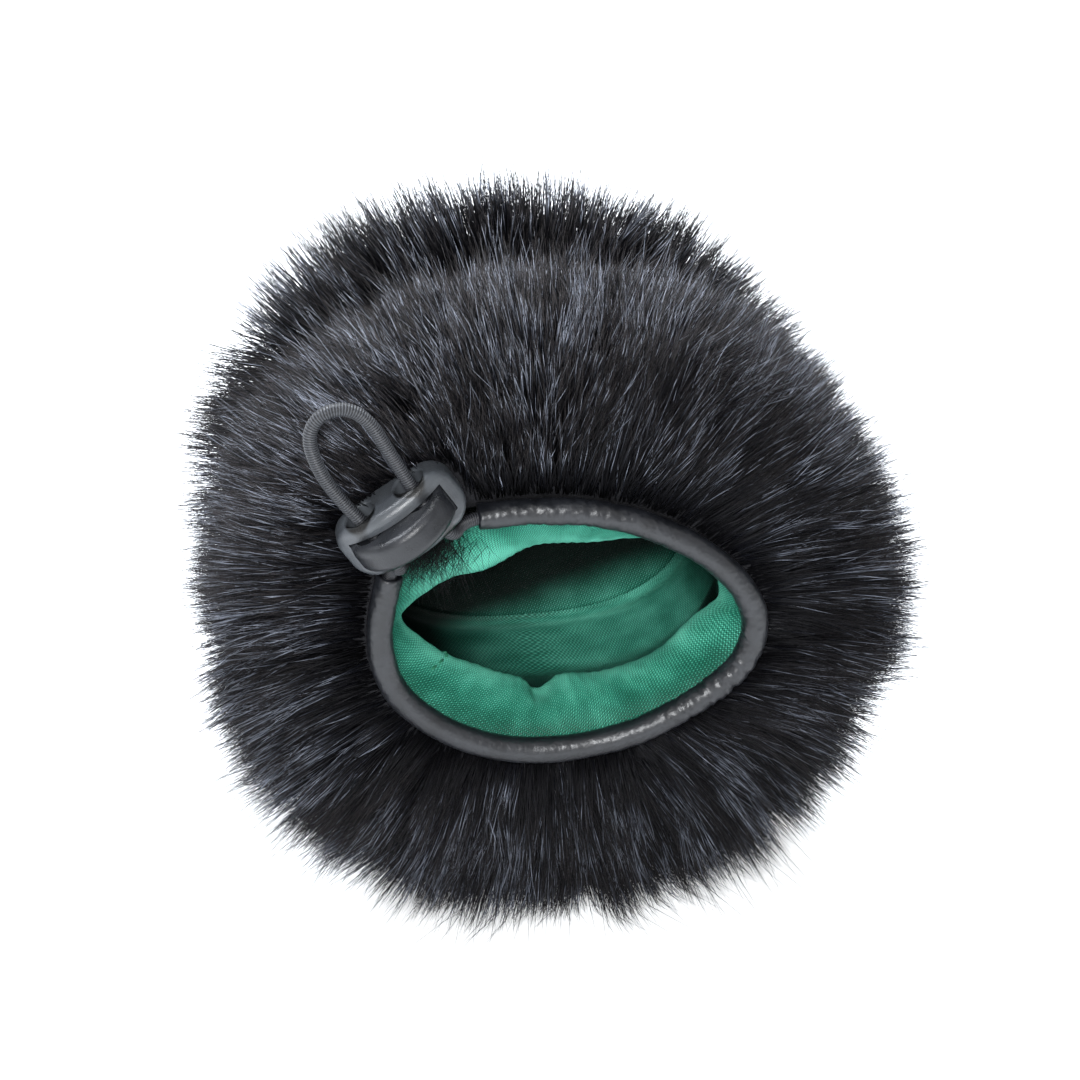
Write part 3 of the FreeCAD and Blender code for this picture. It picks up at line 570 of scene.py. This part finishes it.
def nearest(points, centres):
    """For each point, the number of the nearest centre."""
    tree = kdtree.KDTree(len(centres))
    for i, centre in enumerate(centres):
        tree.insert(centre, i)
    tree.balance()
    return np.array([tree.find(p)[1] for p in points])


def locks_and_tufts():
    """Roots, directions and lengths of the locks of hair, each swayed by its tuft."""
    at, angle = [], []
    for panel in PANELS:
        area = panel_cells(panel, 59, 119)[2].sum()
        panel_at, panel_angle = scatter(panel, round(area / LOCK_SPACING**2))
        at.append(panel_at)
        angle.append(panel_angle)
    at, angle = np.concatenate(at), np.concatenate(angle)
    roots = coat_point(at, angle)
    tuft_count = round(len(at) * (LOCK_SPACING / TUFT_SPACING) ** 2)
    tuft_roots = roots[rng.choice(len(at), tuft_count, replace=False)]
    tuft = nearest(roots, tuft_roots)
    tuft_sway, tuft_tip = rng.normal(0, 0.16, tuft_count), rng.normal(0, 0.15, tuft_count)
    tuft_length = rng.normal(1.0, 0.04, tuft_count)
    sway = tuft_sway[tuft] + rng.normal(0, 0.10, len(at))
    tip = tuft_tip[tuft] + rng.normal(0, 0.09, len(at))
    length = station(at)[3] * tuft_length[tuft] * rng.normal(1.0, 0.05, len(at))
    # Longer at the upper left towards the back, shorter at the bottom in front and at the top before
    # the groove
    degrees, depth = np.degrees(angle) % 360, roots[:, 1]
    length *= 1 + 0.30 * bump(degrees, 150, 50) * soft_step((depth + 24) / 30)
    length *= 1 - 0.20 * bump(degrees, 278, 50) * soft_step((-5 - depth) / 15)
    length *= 1 - 0.42 * bump(degrees, 92, 42) * soft_step((depth + 16) / 12) * (depth < 16)
    return {
        "root": roots,
        "sway": sway,
        "tip": tip,
        "way": directions(at, angle, sway, tip),
        "length": length,
        "gather": rng.uniform(0.0, 0.4, len(at)),
        "tone": rng.random(len(at)),
    }


LOCKS = locks_and_tufts()

# The height of the table for hair, how far forward hair comes, and how much further back it stays
# behind the lock and behind the drawcord's loop
GROUND = -57.6
FURTHEST_FORWARD = -46.0
LOCK_ROOM, LOOP_ROOM = 12.0, 6.6


def keep_clear(points):
    """Lays hair on the table, and presses it back behind the lock, the drawcord and the piping."""
    x, y, height = points[..., 0], points[..., 1], points[..., 2]
    under = np.maximum(GROUND - height, 0)
    outward = np.hypot(x, y) + 1e-6
    x += x / outward * under * 0.7
    y += y / outward * under * 0.7
    rest = GROUND + 0.25 + 0.12 * under * (1 + np.cos(x * 3.1 + y * 2.3))
    height += np.where(under > 0, rest - height, 0)
    lock_x, lock_height = x - LOCK_PLACE[0], height - LOCK_PLACE[1]
    along = lock_x * cos(LOCK_LEAN) + lock_height * sin(LOCK_LEAN)
    up = -lock_x * sin(LOCK_LEAN) + lock_height * cos(LOCK_LEAN)
    by_lock = soft_step((15.4 - np.abs(along)) / 3) * soft_step((8.8 - np.abs(up)) / 3)
    by_loop = soft_step((11 - np.abs(along - 1)) / 3) * soft_step((up - 3) / 3) * soft_step((34 - up) / 4)
    least = FURTHEST_FORWARD + np.maximum(LOCK_ROOM * by_lock, LOOP_ROOM * by_loop)
    y += np.maximum(least - y, 0)
    reach = np.hypot(x, height - MOUTH_RISE)
    open_by = mouth_reach(np.arctan2(height - MOUTH_RISE, x)) + PIPING_RADIUS - 0.4 - reach
    inside = np.maximum(open_by, 0) * (y < -31)
    x += x / reach * inside
    height += (height - MOUTH_RISE) / reach * inside


# How far hair reaches from the bag's axis, least and most, and how far behind the origin
COAT_REACH, STRAY_REACH = (62.5, 69.5), (70.0, 72.8)
FURTHEST_BACK = 61.0


def within_reach(root, way, length, reaches):
    """The lengths of hairs, shortened where they would reach too far."""
    furthest = rng.uniform(*reaches, len(length))
    end = root + way * length[:, None]
    start, reach = np.hypot(root[:, 0], root[:, 2]), np.hypot(end[:, 0], end[:, 2])
    sideways = np.clip((furthest - start) / np.maximum(reach - start, 1e-3), 0, 1)
    backward = np.clip((FURTHEST_BACK - root[:, 1]) / np.maximum(end[:, 1] - root[:, 1], 1e-3), 0, 1)
    sideways = np.where(reach > furthest, sideways, 1)
    return length * sideways * np.where(end[:, 1] > FURTHEST_BACK, backward, 1)


def hairs(panel, count, rings, length_range, width, gather, reaches=COAT_REACH):
    """Rings of points for each hair of a panel, and its tone. rings are shares of its length."""
    at, angle = scatter(panel, count)
    root = coat_point(at, angle)
    mine = nearest(root, LOCKS["root"])
    sway = LOCKS["sway"][mine] + rng.normal(0, 0.07, count)
    tip = LOCKS["tip"][mine] + rng.normal(0, 0.07, count)
    way = directions(at, angle, sway, tip)
    length = LOCKS["length"][mine] * rng.uniform(*length_range, count)
    length = within_reach(root, way, length, reaches)[:, None]
    root = root - way * ROOT_DEPTH
    end = root + way * length
    lock_end = LOCKS["root"][mine] + LOCKS["way"][mine] * length
    pull = (lock_end - end) * (LOCKS["gather"][mine] * gather)[:, None]
    bow = rng.normal(0, 0.05, (count, 3)) * length
    shares = np.array([*rings, 1.0])
    level = shares[None, :, None]
    spine = root[:, None] + (end - root)[:, None] * level
    spine = spine + pull[:, None] * level**1.6 + bow[:, None] * level**2
    spine[..., 2] -= 0.02 * length * shares**2
    keep_clear(spine)
    thick = width * (1 - 0.7 * shares[:-1] ** 2)
    tone = 0.35 * LOCKS["tone"][mine] + 0.65 * rng.random(count)
    return spine, thick, tone


def spikes(name, spine, thick, tone):
    """A piece of closed three-sided spikes along the spines."""
    count, levels = spine.shape[:2]
    rings = levels - 1
    way = spine[:, 1] - spine[:, 0]
    way /= norm(way, axis=1, keepdims=True)
    side = np.cross(way, rng.normal(0, 1, (count, 3)))
    side /= norm(side, axis=1, keepdims=True)
    across = spokes(side, np.cross(way, side), 3)
    body = spine[:, :-1, None, :] + across[:, None] * (thick / 2)[None, :, None, None]
    points = np.concatenate([body.reshape(count, -1, 3), spine[:, -1:]], axis=1)
    faces, rises, sides = [[0, 2, 1]], [[0, 0, 0]], [[0, 2, 1]]
    heights = np.linspace(0, 1, levels)
    for k in range(rings - 1):
        for j in range(3):
            a, b = 3 * k + j, 3 * k + (j + 1) % 3
            faces += [[a, b, b + 3], [a, b + 3, a + 3]]
            rises += [[k, k, k + 1], [k, k + 1, k + 1]]
            sides += [[j, j + 1, j + 1], [j, j + 1, j]]
    for j in range(3):
        faces.append([3 * (rings - 1) + j, 3 * (rings - 1) + (j + 1) % 3, 3 * rings])
        rises.append([rings - 1, rings - 1, rings])
        sides.append([j, j + 1, j + 0.5])
    faces, rises, sides = np.array(faces), np.array(rises), np.array(sides)
    size = 3 * rings + 1
    all_faces = (np.arange(count)[:, None, None] * size + faces[None]).reshape(-1, 3)
    u = 0.01 + 0.95 * tone[:, None, None] + 0.01 * sides[None]
    v = np.broadcast_to(0.01 + 0.98 * heights[rises][None], u.shape)
    return mesh_piece(name, points.reshape(-1, 3), all_faces, np.stack([u, v], axis=-1).reshape(-1, 2))


# The most triangles in a piece
MOST_TRIANGLES = 190000
# Short hair under long guard hair: rings, share of the length, width and gathering
COATS = {
    "pile": ((0.0, 0.6), (0.58, 0.92), 0.23, 0.8),
    "guard": ((0.0, 0.4, 0.75), (0.84, 1.18), 0.13, 0.6),
}


def grow_pile(panel):
    """The pieces of one panel's pile."""
    grown = []
    for (coat, form), count in zip(COATS.items(), HAIR_COUNTS[panel]):
        spine, thick, tone = hairs(panel, count, *form)
        triangles = count * (1 + 6 * (len(form[0]) - 1) + 3)
        shares = ceil(triangles / MOST_TRIANGLES)
        for i, part in enumerate(np.array_split(np.arange(count), shares), start=1):
            grown.append(spikes(f"{panel}_{coat}_{i}", spine[part], thick, tone[part]))
    return grown


undercoats = {panel: undercoat(panel) for panel in PANELS}
piles = {panel: grow_pile(panel) for panel in PANELS}
for panel, node in PANEL_NODES.items():
    for piece in [undercoats[panel], *piles[panel]]:
        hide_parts(node)


# Stray guard hairs, long and fine, that stand out of the pile

STRAY_COAT = ((0.0, 0.5), (1.2, 1.75), 0.14, 0.0)


def stray_hairs(count):
    panel_share = {"front": 0.4, "side": 0.35, "cap": 0.25}
    spines, tones = [], []
    for panel, share in panel_share.items():
        spine, thick, tone = hairs(panel, round(count * share), *STRAY_COAT, STRAY_REACH)
        spines.append(spine)
        tones.append(tone)
    return spikes("stray_guard_hairs", np.concatenate(spines), thick, np.concatenate(tones))


strays = stray_hairs(5600)


# Tuft of fur that the gap between the piping's ends lets over the lining


def gap_tuft(count=700):
    start = np.array([-24.5, -34.6, 20.5]) + rng.normal(0, 1, (count, 3)) * (3.6, 0.7, 1.8)
    way = np.array([-0.05, 0.42, -0.9]) + rng.normal(0, 0.35, (count, 3))
    way /= norm(way, axis=1, keepdims=True)
    length = rng.uniform(4.5, 10.5, count)[:, None]
    shares = np.array([0.0, 0.35, 0.7, 1.0])
    bow = rng.normal(0, 0.22, (count, 3)) * length
    level = shares[None, :, None]
    spine = start[:, None] + (way * length)[:, None] * level + bow[:, None] * level**2
    return spikes("mouth_gap_tuft", spine, 0.1 * (1 - 0.7 * shares[:-1]), 0.6 * rng.random(count))


tuft = gap_tuft()


# Seam threads: rows of short stitches

STITCH_LENGTH, STITCH_GAP, STITCH_WIDTH = 1.9, 0.7, 0.5


def stitches(name, line):
    """A row of stitches along a line, each a small bowed spindle."""
    line, along = evenly(line, 0.2)
    count = max(int(along[-1] // (STITCH_LENGTH + STITCH_GAP)), 1)
    starts = (np.arange(count) + 0.5) * along[-1] / count - STITCH_LENGTH / 2
    shares, girth = np.array([0, 0.12, 0.5, 0.88, 1.0]), np.array([0.25, 0.85, 1.0, 0.85, 0.25])
    sides = 6
    points, faces = [], []
    for start in starts:
        places = start + shares * STITCH_LENGTH
        middle = np.column_stack([np.interp(places, along, line[:, k]) for k in range(3)])
        _, side, other = frames_along(middle)
        for k, ring in enumerate(spokes(side, other, sides)):
            points.extend(middle[k] + ring * girth[k] * STITCH_WIDTH / 2)
        base = len(points) - sides * len(shares)
        for k in range(len(shares) - 1):
            for j in range(sides):
                a, b = base + k * sides + j, base + k * sides + (j + 1) % sides
                faces += [[a, b, b + sides], [a, b + sides, a + sides]]
        last = base + (len(shares) - 1) * sides
        faces += [[base, base + j + 1, base + j] for j in range(1, sides - 1)]
        faces += [[last, last + j, last + j + 1] for j in range(1, sides - 1)]
    return mesh_piece(name, np.array(points), np.array(faces))


around = np.linspace(0, 2 * pi, 181)
THREAD_OVAL = THREAD_HALF_WIDTH, THREAD_HALF_HEIGHT = 35.4, 26.4
SIDE_SEAM_PLANES = (-18.65, 13.75)
BAND_SEAM_ANGLE = radians(199.0)


def band_seam(count=30):
    """Down the front band, just off its cloth towards the inside."""
    cloth = band_cloth(np.full(count, BAND_SEAM_ANGLE), np.linspace(0.3, 0.92, count))
    return cloth + (0.25, -0.1, 0.2)


SEAMS = {
    "fur_front_seam_thread": oval(around, *THREAD_OVAL, -19.55),
    "fur_end_seam_thread": oval(around, *THREAD_OVAL, 15.55),
    "fur_side_seam_thread": np.array([(0.0, y, -THREAD_HALF_HEIGHT) for y in SIDE_SEAM_PLANES]),
    "lining_front_seam_thread": oval(around, *THREAD_OVAL, -20.45),
    "lining_end_seam_thread": oval(around, *THREAD_OVAL, 14.65),
    "lining_side_seam_thread": np.array([(-THREAD_HALF_WIDTH, y, 0.0) for y in SIDE_SEAM_PLANES]),
    "piping_thread": oval(around, 33.1, 23.6, -33.1, MOUTH_RISE),
    "lining_band_seam_thread": band_seam(),
}
threads = {}
for node, line in SEAMS.items():
    threads[node] = stitches(node.replace("_thread", "_stitches"), line)
    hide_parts(node)


# Materials

WHITE = (1.0, 1.0, 1.0, 1.0)


def fresh_tree(owner):
    """The emptied node tree of a material or a world."""
    owner.use_nodes = True
    owner.node_tree.nodes.clear()
    return owner.node_tree


def fill(tree, node, values):
    """Gives a node's inputs their values, as numbers or as links from sockets."""
    for name, value in values.items():
        if isinstance(value, bpy.types.NodeSocket):
            tree.links.new(value, node.inputs[name])
        else:
            node.inputs[name].default_value = value


def add(tree, kind, values=None, **settings):
    """A node with its settings and its inputs' values."""
    node = tree.nodes.new("ShaderNode" + kind)
    for name, value in settings.items():
        setattr(node, name, value)
    fill(tree, node, values or {})
    return node


def new_material(name):
    material = bpy.data.materials.new(name)
    tree = fresh_tree(material)
    shader = add(tree, "BsdfPrincipled")
    add(tree, "OutputMaterial", {"Surface": shader.outputs["BSDF"]})
    return material, tree, shader


def finish(tree, shader, colour, rough, specular, **others):
    """Gives a shader its colour, its roughness, its specular level and other inputs by name."""
    fill(tree, shader, {"Base Color": colour, "Roughness": rough, "Specular IOR Level": specular})
    fill(tree, shader, others)


def math_node(tree, operation, a, b=0.0):
    return add(tree, "Math", {0: a, 1: b}, operation=operation).outputs[0]


def times(tree, a, b):
    return math_node(tree, "MULTIPLY", a, b)


def plus(tree, a, b):
    return math_node(tree, "ADD", a, b)


def minus(tree, a, b):
    return math_node(tree, "SUBTRACT", a, b)


def remap(tree, value, least, most, start, end, **settings):
    """A value from least to most turned into one from start to end."""
    steps = {0: value, 1: least, 2: most, 3: start, 4: end}
    return add(tree, "MapRange", steps, **settings).outputs[0]


def own_place(tree):
    """The place in the piece's own coordinates."""
    return add(tree, "TexCoord").outputs["Object"]


def map_place(tree):
    """The place on the piece's map."""
    return add(tree, "UVMap", uv_map="OFBake").outputs["UV"]


def parts(tree, place):
    """The three parts of a place."""
    return add(tree, "SeparateXYZ", {0: place}).outputs


def turned_by(tree, place, angle, axis):
    values = {"Vector": place, "Angle": angle}
    return add(tree, "VectorRotate", values, rotation_type=axis).outputs[0]


def noise_at(tree, place, scale, detail, roughness=0.5):
    values = {"Vector": place, "Scale": scale, "Detail": detail, "Roughness": roughness}
    return add(tree, "TexNoise", values).outputs["Fac"]


def ramp(tree, factor, stops):
    """A colour ramp between stops."""
    node = add(tree, "ValToRGB", {"Fac": factor})
    elements = node.color_ramp.elements
    while len(elements) < len(stops):
        elements.new(0.5)
    for element, (place, colour) in zip(elements, stops):
        element.position = place
        element.color = (*colour, 1.0)
    return node.outputs["Color"]


def scaled(tree, colour, share):
    return add(tree, "VectorMath", {0: colour, "Scale": share}, operation="SCALE").outputs[0]


def bump_node(tree, height, strength, distance):
    values = {"Height": height, "Strength": strength, "Distance": distance}
    return add(tree, "Bump", values).outputs["Normal"]


def make_grain_group():
    """Fine grain over slow mottling, both from the piece's own coordinates."""
    group = bpy.data.node_groups.new("grain", "ShaderNodeTree")
    for label, scale in (("Fine Scale", 3000.0), ("Coarse Scale", 200.0)):
        socket = group.interface.new_socket(label, in_out="INPUT", socket_type="NodeSocketFloat")
        socket.default_value = scale
    for label in ("Height", "Mottle"):
        group.interface.new_socket(label, in_out="OUTPUT", socket_type="NodeSocketFloat")
    start = group.nodes.new("NodeGroupInput").outputs
    end = group.nodes.new("NodeGroupOutput")
    place = own_place(group)
    fine = noise_at(group, place, start["Fine Scale"], 4.0, 0.6)
    coarse = noise_at(group, place, start["Coarse Scale"], 3.0)
    fill(group, end, {"Height": fine, "Mottle": coarse})
    return group


GRAIN = make_grain_group()
# The span of the mottling that colours and roughness follow
MOTTLE_SPAN = (0.3, 0.7)


def grain_node(tree, fine, coarse):
    """The grain's height and its mottling, at two scales."""
    node = tree.nodes.new("ShaderNodeGroup")
    node.node_tree = GRAIN
    fill(tree, node, {"Fine Scale": fine, "Coarse Scale": coarse})
    return node.outputs["Height"], node.outputs["Mottle"]


def grained(name, colours, rough, scales, relief, specular=0.5, metallic=0.0):
    """A material with mottled colour and roughness, and a grain that stands out of it by its relief:
    a strength, and a height in metres."""
    material, tree, shader = new_material(name)
    height, mottle = grain_node(tree, *scales)
    colour = ramp(tree, mottle, list(zip(MOTTLE_SPAN, colours)))
    rough = remap(tree, mottle, *MOTTLE_SPAN, *rough)
    normal = bump_node(tree, height, *relief)
    finish(tree, shader, colour, rough, specular, Normal=normal, Metallic=metallic)
    return material


def pile_material():
    """Black hair, darkened towards the root by painted shade, and lighter and a little brown at the tip.
    The hairs with the lightest tone are glossier guard hairs, with blue-white glints painted into their
    colour in patches along their outer length."""
    material, tree, shader = new_material("black_pile")
    tone, height, _ = parts(tree, map_place(tree))
    # Painted shade: the hair is darkest at its root, deep in the pile, and lighter towards its tip
    black = [(0.0, (0.001, 0.001, 0.0015)), (0.6, (0.005, 0.0048, 0.006))]
    tips = [(0.82, (0.018, 0.0165, 0.0175)), (1.0, (0.062, 0.053, 0.050))]
    plain = scaled(tree, ramp(tree, height, black + tips), remap(tree, tone, 0.0, 1.0, 0.40, 2.1))
    # Painted highlight: the guard hairs' colour holds blue-white glints along their outer length, broken
    # into patches
    lower_half = [(0.0, (0.002, 0.002, 0.003)), (0.4, (0.014, 0.015, 0.020)), (0.6, (0.150, 0.165, 0.205))]
    upper_half = [(0.85, (0.400, 0.430, 0.510)), (1.0, (0.260, 0.270, 0.300))]
    patches = noise_at(tree, own_place(tree), 330.0, 3.0)
    painted_glint_patches = remap(tree, patches, 0.36, 0.64, 0.35, 1.15)
    painted_glint_colour = scaled(tree, ramp(tree, height, lower_half + upper_half), painted_glint_patches)
    guard = remap(tree, tone, 0.68, 0.80, 0.0, 1.0)
    colour = add(tree, "Mix", {0: guard, 6: plain, 7: painted_glint_colour}, data_type="RGBA").outputs[2]
    rough = remap(tree, guard, 0.0, 1.0, 0.55, 0.22)
    finish(tree, shader, colour, rough, 0.12)
    return material


# The slant and the size of the knit's stitches, across and along
KNIT_SLANT = radians(24)
STITCH_ACROSS, STITCH_ALONG = 0.52, 0.60


def knit_material(name, width=0, length=0, depth=1.0, deep=False):
    """Emerald knit whose stitches follow the cloth's map, or lie across the bag where no cut is given.
    width and length are the cut in millimetres, depth is how light the dye is, which paints the band
    lighter and the end darker than the side as light and shade, and deep is for the cloth behind the
    band, which gets painted shade under the bag's top."""
    material, tree, shader = new_material(name)
    if width:
        place = map_place(tree)
        flat = add(tree, "Mapping", {"Vector": place, "Scale": (width, length, 1.0)}).outputs[0]
    else:
        x, _, z = parts(tree, own_place(tree))
        flat = add(tree, "CombineXYZ", {0: times(tree, x, 1 / MM), 1: times(tree, z, 1 / MM)}).outputs[0]
    sideways, lengthways, _ = parts(tree, turned_by(tree, flat, KNIT_SLANT, "Z_AXIS"))
    wobble = noise_at(tree, flat, 0.6, 2.0)
    across = plus(tree, times(tree, sideways, 1 / STITCH_ACROSS), wobble)
    row = math_node(tree, "SINE", times(tree, across, 2 * pi))
    along = times(tree, lengthways, 2 * pi / STITCH_ALONG)
    stitch = times(tree, math_node(tree, "SINE", along), row)
    height = plus(tree, plus(tree, times(tree, row, 0.16), times(tree, stitch, 0.34)), 0.5)
    fuzz = noise_at(tree, flat, 5.0, 3.0)
    slow = noise_at(tree, flat, 0.14, 2.0)
    yarn = plus(tree, times(tree, height, 0.75), times(tree, fuzz, 0.3))
    shade = plus(tree, yarn, times(tree, minus(tree, slow, 0.55), 0.6))
    # Painted light on the front band: lighter towards its crest, and painted shade near the piping
    if not deep:
        crest = remap(tree, parts(tree, place)[1], 0.05, 0.6, -0.30, 0.16)
        shade = plus(tree, shade, crest)
    # Dark in the hollows between stitches, light on their tops: partly the knit's own look, partly painted
    # shade and painted highlight
    dyes = [(0.15, (0.003, 0.046, 0.028)), (0.5, (0.030, 0.200, 0.135)), (0.85, (0.160, 0.560, 0.420))]
    # depth scales the dye: painted light on the band, painted shade on the end
    colour = ramp(tree, shade, [(at, tuple(depth * part for part in dye)) for at, dye in dyes])
    # Painted shade: the cloth deep in the bag is darkened under its top
    if deep:
        colour = scaled(tree, colour, painted_shade_in_bag(tree))
    finish(tree, shader, colour, 0.38, 0.16, Normal=bump_node(tree, height, 0.8, 0.00016))
    return material


def painted_shade_in_bag(tree):
    """Painted shade on the cloth deep in the bag: light on its floor, and painted dark under its top."""
    x, _, z = parts(tree, own_place(tree))
    tilted = minus(tree, z, times(tree, x, 0.32))
    low, high = (AXIS_HEIGHT - 28.0) * MM, (AXIS_HEIGHT - 15.5) * MM
    return remap(tree, tilted, low, high, 1.0, 0.02, interpolation_type="SMOOTHSTEP")


def cord_material(name, length):
    """Charcoal yarn over the elastic, with painted shade between its ribs. length is in millimetres."""
    material, tree, shader = new_material(name)
    along, turn, _ = parts(tree, map_place(tree))
    phase = times(tree, plus(tree, times(tree, along, length / RIB_PITCH), turn), 2 * pi)
    rib = math_node(tree, "COSINE", phase)
    height, _ = grain_node(tree, 5200.0, 900.0)
    # Painted shade: the colour darkens in the grooves between the ribs
    level = plus(tree, times(tree, rib, 0.32), height)
    colour = ramp(tree, level, [(0.2, (0.002, 0.002, 0.003)), (0.95, (0.066, 0.070, 0.079))])
    finish(tree, shader, colour, 0.42, 0.3, Normal=bump_node(tree, height, 0.5, 0.00008))
    return material


def leather_material():
    """Black leather look: pebbled cells, fine pores and worn, slightly duller crowns."""
    material, tree, shader = new_material("black_leather")
    cells = {"Vector": own_place(tree), "Scale": 1500.0}
    pebbles = add(tree, "TexVoronoi", cells, feature="SMOOTH_F1").outputs["Distance"]
    pores, mottle = grain_node(tree, 2600.0, 260.0)
    height = plus(tree, times(tree, pebbles, 0.7), times(tree, pores, 0.5))
    colours = ((0.004, 0.0045, 0.006), (0.011, 0.012, 0.015))
    colour = ramp(tree, mottle, list(zip(MOTTLE_SPAN, colours)))
    rough = remap(tree, height, 0.2, 0.8, 0.32, 0.42)
    finish(tree, shader, colour, rough, 0.44, Normal=bump_node(tree, height, 0.5, 0.00018))
    return material


def paint_shade_in_holes(material):
    """Darkens the plastic inside the lock's two cord holes with painted shade, by its distance from the
    cord's legs.
    """
    tree = material.node_tree
    shader = tree.nodes["Principled BSDF"]
    steps = {0: own_place(tree), 1: placed(in_lock(0, 0))}
    local = add(tree, "VectorMath", steps, operation="SUBTRACT").outputs[0]
    sideways, behind, _ = parts(tree, turned_by(tree, local, LOCK_LEAN, "Y_AXIS"))
    along = minus(tree, math_node(tree, "ABSOLUTE", sideways), HOLE_OFFSET * MM)
    away = math_node(tree, "SQRT", plus(tree, times(tree, along, along), times(tree, behind, behind)))
    rim = (HOLE_RADIUS + 0.35) * MM
    inside = remap(tree, away, HOLE_RADIUS * MM, rim, 0.01, 1.0)
    colour = shader.inputs["Base Color"].links[0].from_socket
    fill(tree, shader, {"Base Color": scaled(tree, colour, inside)})


black_pile = pile_material()
felted_coat = grained(
    "felted_undercoat", ((0.003, 0.003, 0.004), (0.010, 0.010, 0.012)),
    rough=(0.7, 0.9), scales=(2500, 300), relief=(0.8, 0.0004), specular=0.2,
)
PLASTIC_GRAIN = {"scales": (3200, 350), "relief": (0.7, 0.00009)}
satin_plastic = grained(
    "satin_black_plastic", ((0.042, 0.046, 0.052), (0.062, 0.068, 0.075)),
    rough=(0.27, 0.35), specular=0.48, **PLASTIC_GRAIN,
)
# A darker copy of the barrel's satin plastic: painted shade on the plunger
plunger_plastic_painted_dark = grained(
    "satin_plunger_plastic", ((0.009, 0.010, 0.012), (0.018, 0.019, 0.022)),
    rough=(0.26, 0.35), specular=0.32, **PLASTIC_GRAIN,
)
# Painted shade inside the lock's two cord holes
paint_shade_in_holes(satin_plastic)
YARN = {"rough": (0.5, 0.7), "scales": (7000, 1500), "relief": (0.4, 0.00005)}
black_thread = grained("black_thread", ((0.008, 0.008, 0.009), (0.03, 0.03, 0.033)), **YARN)
green_thread = grained("green_thread", ((0.008, 0.085, 0.045), (0.022, 0.19, 0.10)), **YARN)
spring_wire = grained(
    "spring_wire", ((0.42, 0.43, 0.45), (0.60, 0.61, 0.63)),
    rough=(0.22, 0.34), scales=(5000, 700), relief=(0.12, 0.00003), metallic=1.0,
)
shrink_sleeve = grained(
    "shrink_sleeve", ((0.010, 0.010, 0.011), (0.022, 0.022, 0.024)),
    rough=(0.4, 0.55), scales=(5000, 600), relief=(0.2, 0.00005),
)
leather = leather_material()


def dress(piece, material):
    """Gives a piece of the cover its finish and the body that it moves with."""
    piece.data.materials.clear()
    piece.data.materials.append(material)
    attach(piece, "cover")


for panel in PANELS:
    dress(undercoats[panel], felted_coat)
    for piece in piles[panel]:
        dress(piece, black_pile)
dress(strays, black_pile)
dress(tuft, black_pile)
# The same knit in three cuts, as lit and shaded copies: depth paints the band lighter and the end darker
dress(lining_band, knit_material("green_knit_band", 166, 19, depth=1.25))
dress(lining_side, knit_material("green_knit_side", 176, 40, depth=1.0, deep=True))
dress(lining_end, knit_material("green_knit_end", depth=0.8, deep=True))
dress(piping, leather)
dress(drawcord, cord_material("drawcord_braid", line_length(drawcord_line)))
dress(channel_cord, cord_material("channel_cord_braid", line_length(channel_line)))
for node, piece in threads.items():
    dress(piece, green_thread if node.startswith("lining") else black_thread)

FINISHES = {
    "lock_barrel": satin_plastic,
    "lock_plunger": plunger_plastic_painted_dark,
    "lock_spring": spring_wire,
    "drawcord_joint": shrink_sleeve,
}
for node, material in FINISHES.items():
    for held in nodes[node].material_slots:
        held.material = material


# Table, lamps and surroundings


def seen_directly(tree):
    """One for what the eye sees straight, in a reflection or through a clear piece, otherwise none."""
    path = add(tree, "LightPath").outputs
    seen = math_node(tree, "MAXIMUM", path["Is Camera Ray"], path["Is Glossy Ray"])
    return math_node(tree, "MAXIMUM", seen, path["Is Transmission Ray"])


def make_floor(size, glow):
    """A white table that shines a little to the eye, and not on the cover."""
    bpy.ops.object.select_all(action="DESELECT")
    bpy.ops.mesh.primitive_plane_add(size=size)
    floor = bpy.context.object
    floor.name = "white_table"
    material = bpy.data.materials.new("white_table")
    tree = fresh_tree(material)
    level = times(tree, seen_directly(tree), glow)
    diffuse = add(tree, "BsdfDiffuse", {"Color": (0.86, 0.87, 0.88, 1.0)}).outputs[0]
    shine = add(tree, "Emission", {"Color": WHITE, "Strength": level}).outputs[0]
    add(tree, "OutputMaterial", {"Surface": add(tree, "AddShader", {0: diffuse, 1: shine}).outputs[0]})
    floor.data.materials.append(material)


def make_surroundings(strength):
    """White to the eye and in reflections, and a plain soft light on the rest."""
    world = bpy.data.worlds.new("studio")
    bpy.context.scene.world = world
    tree = fresh_tree(world)
    level = remap(tree, seen_directly(tree), 0.0, 1.0, strength, 1.0)
    light = add(tree, "Background", {"Color": WHITE, "Strength": level}).outputs[0]
    add(tree, "OutputWorld", {"Surface": light})


def add_lamp(name, azimuth, elevation, distance, size, power, colour):
    """A square soft lamp that faces the cover."""
    back = direction_to(azimuth, elevation)
    data = bpy.data.lights.new(name, "AREA")
    data.shape, data.size, data.energy, data.color = "SQUARE", size, power, colour
    lamp = bpy.data.objects.new(name, data)
    bpy.context.scene.collection.objects.link(lamp)
    lamp.location = MIDDLE + back * distance
    lamp.rotation_mode = "QUATERNION"
    lamp.rotation_quaternion = back.to_track_quat("Z", "Y")


# Each lamp's name, azimuth, elevation, distance, size, power and colour
LAMPS = [
    ("key_lamp", -12, 31, 1.1, 0.22, 16.0, (0.96, 0.98, 1.0)),
    ("top_lamp", 165, 66, 1.0, 0.3, 22.0, (0.90, 0.95, 1.0)),
    ("left_lamp", -105, 48, 1.1, 0.22, 11.0, (0.88, 0.93, 1.0)),
]
make_floor(size=4.0, glow=0.55)
make_surroundings(strength=0.07)
for lamp in LAMPS:
    add_lamp(*lamp)

bpy.context.scene.view_settings.view_transform = "Standard"
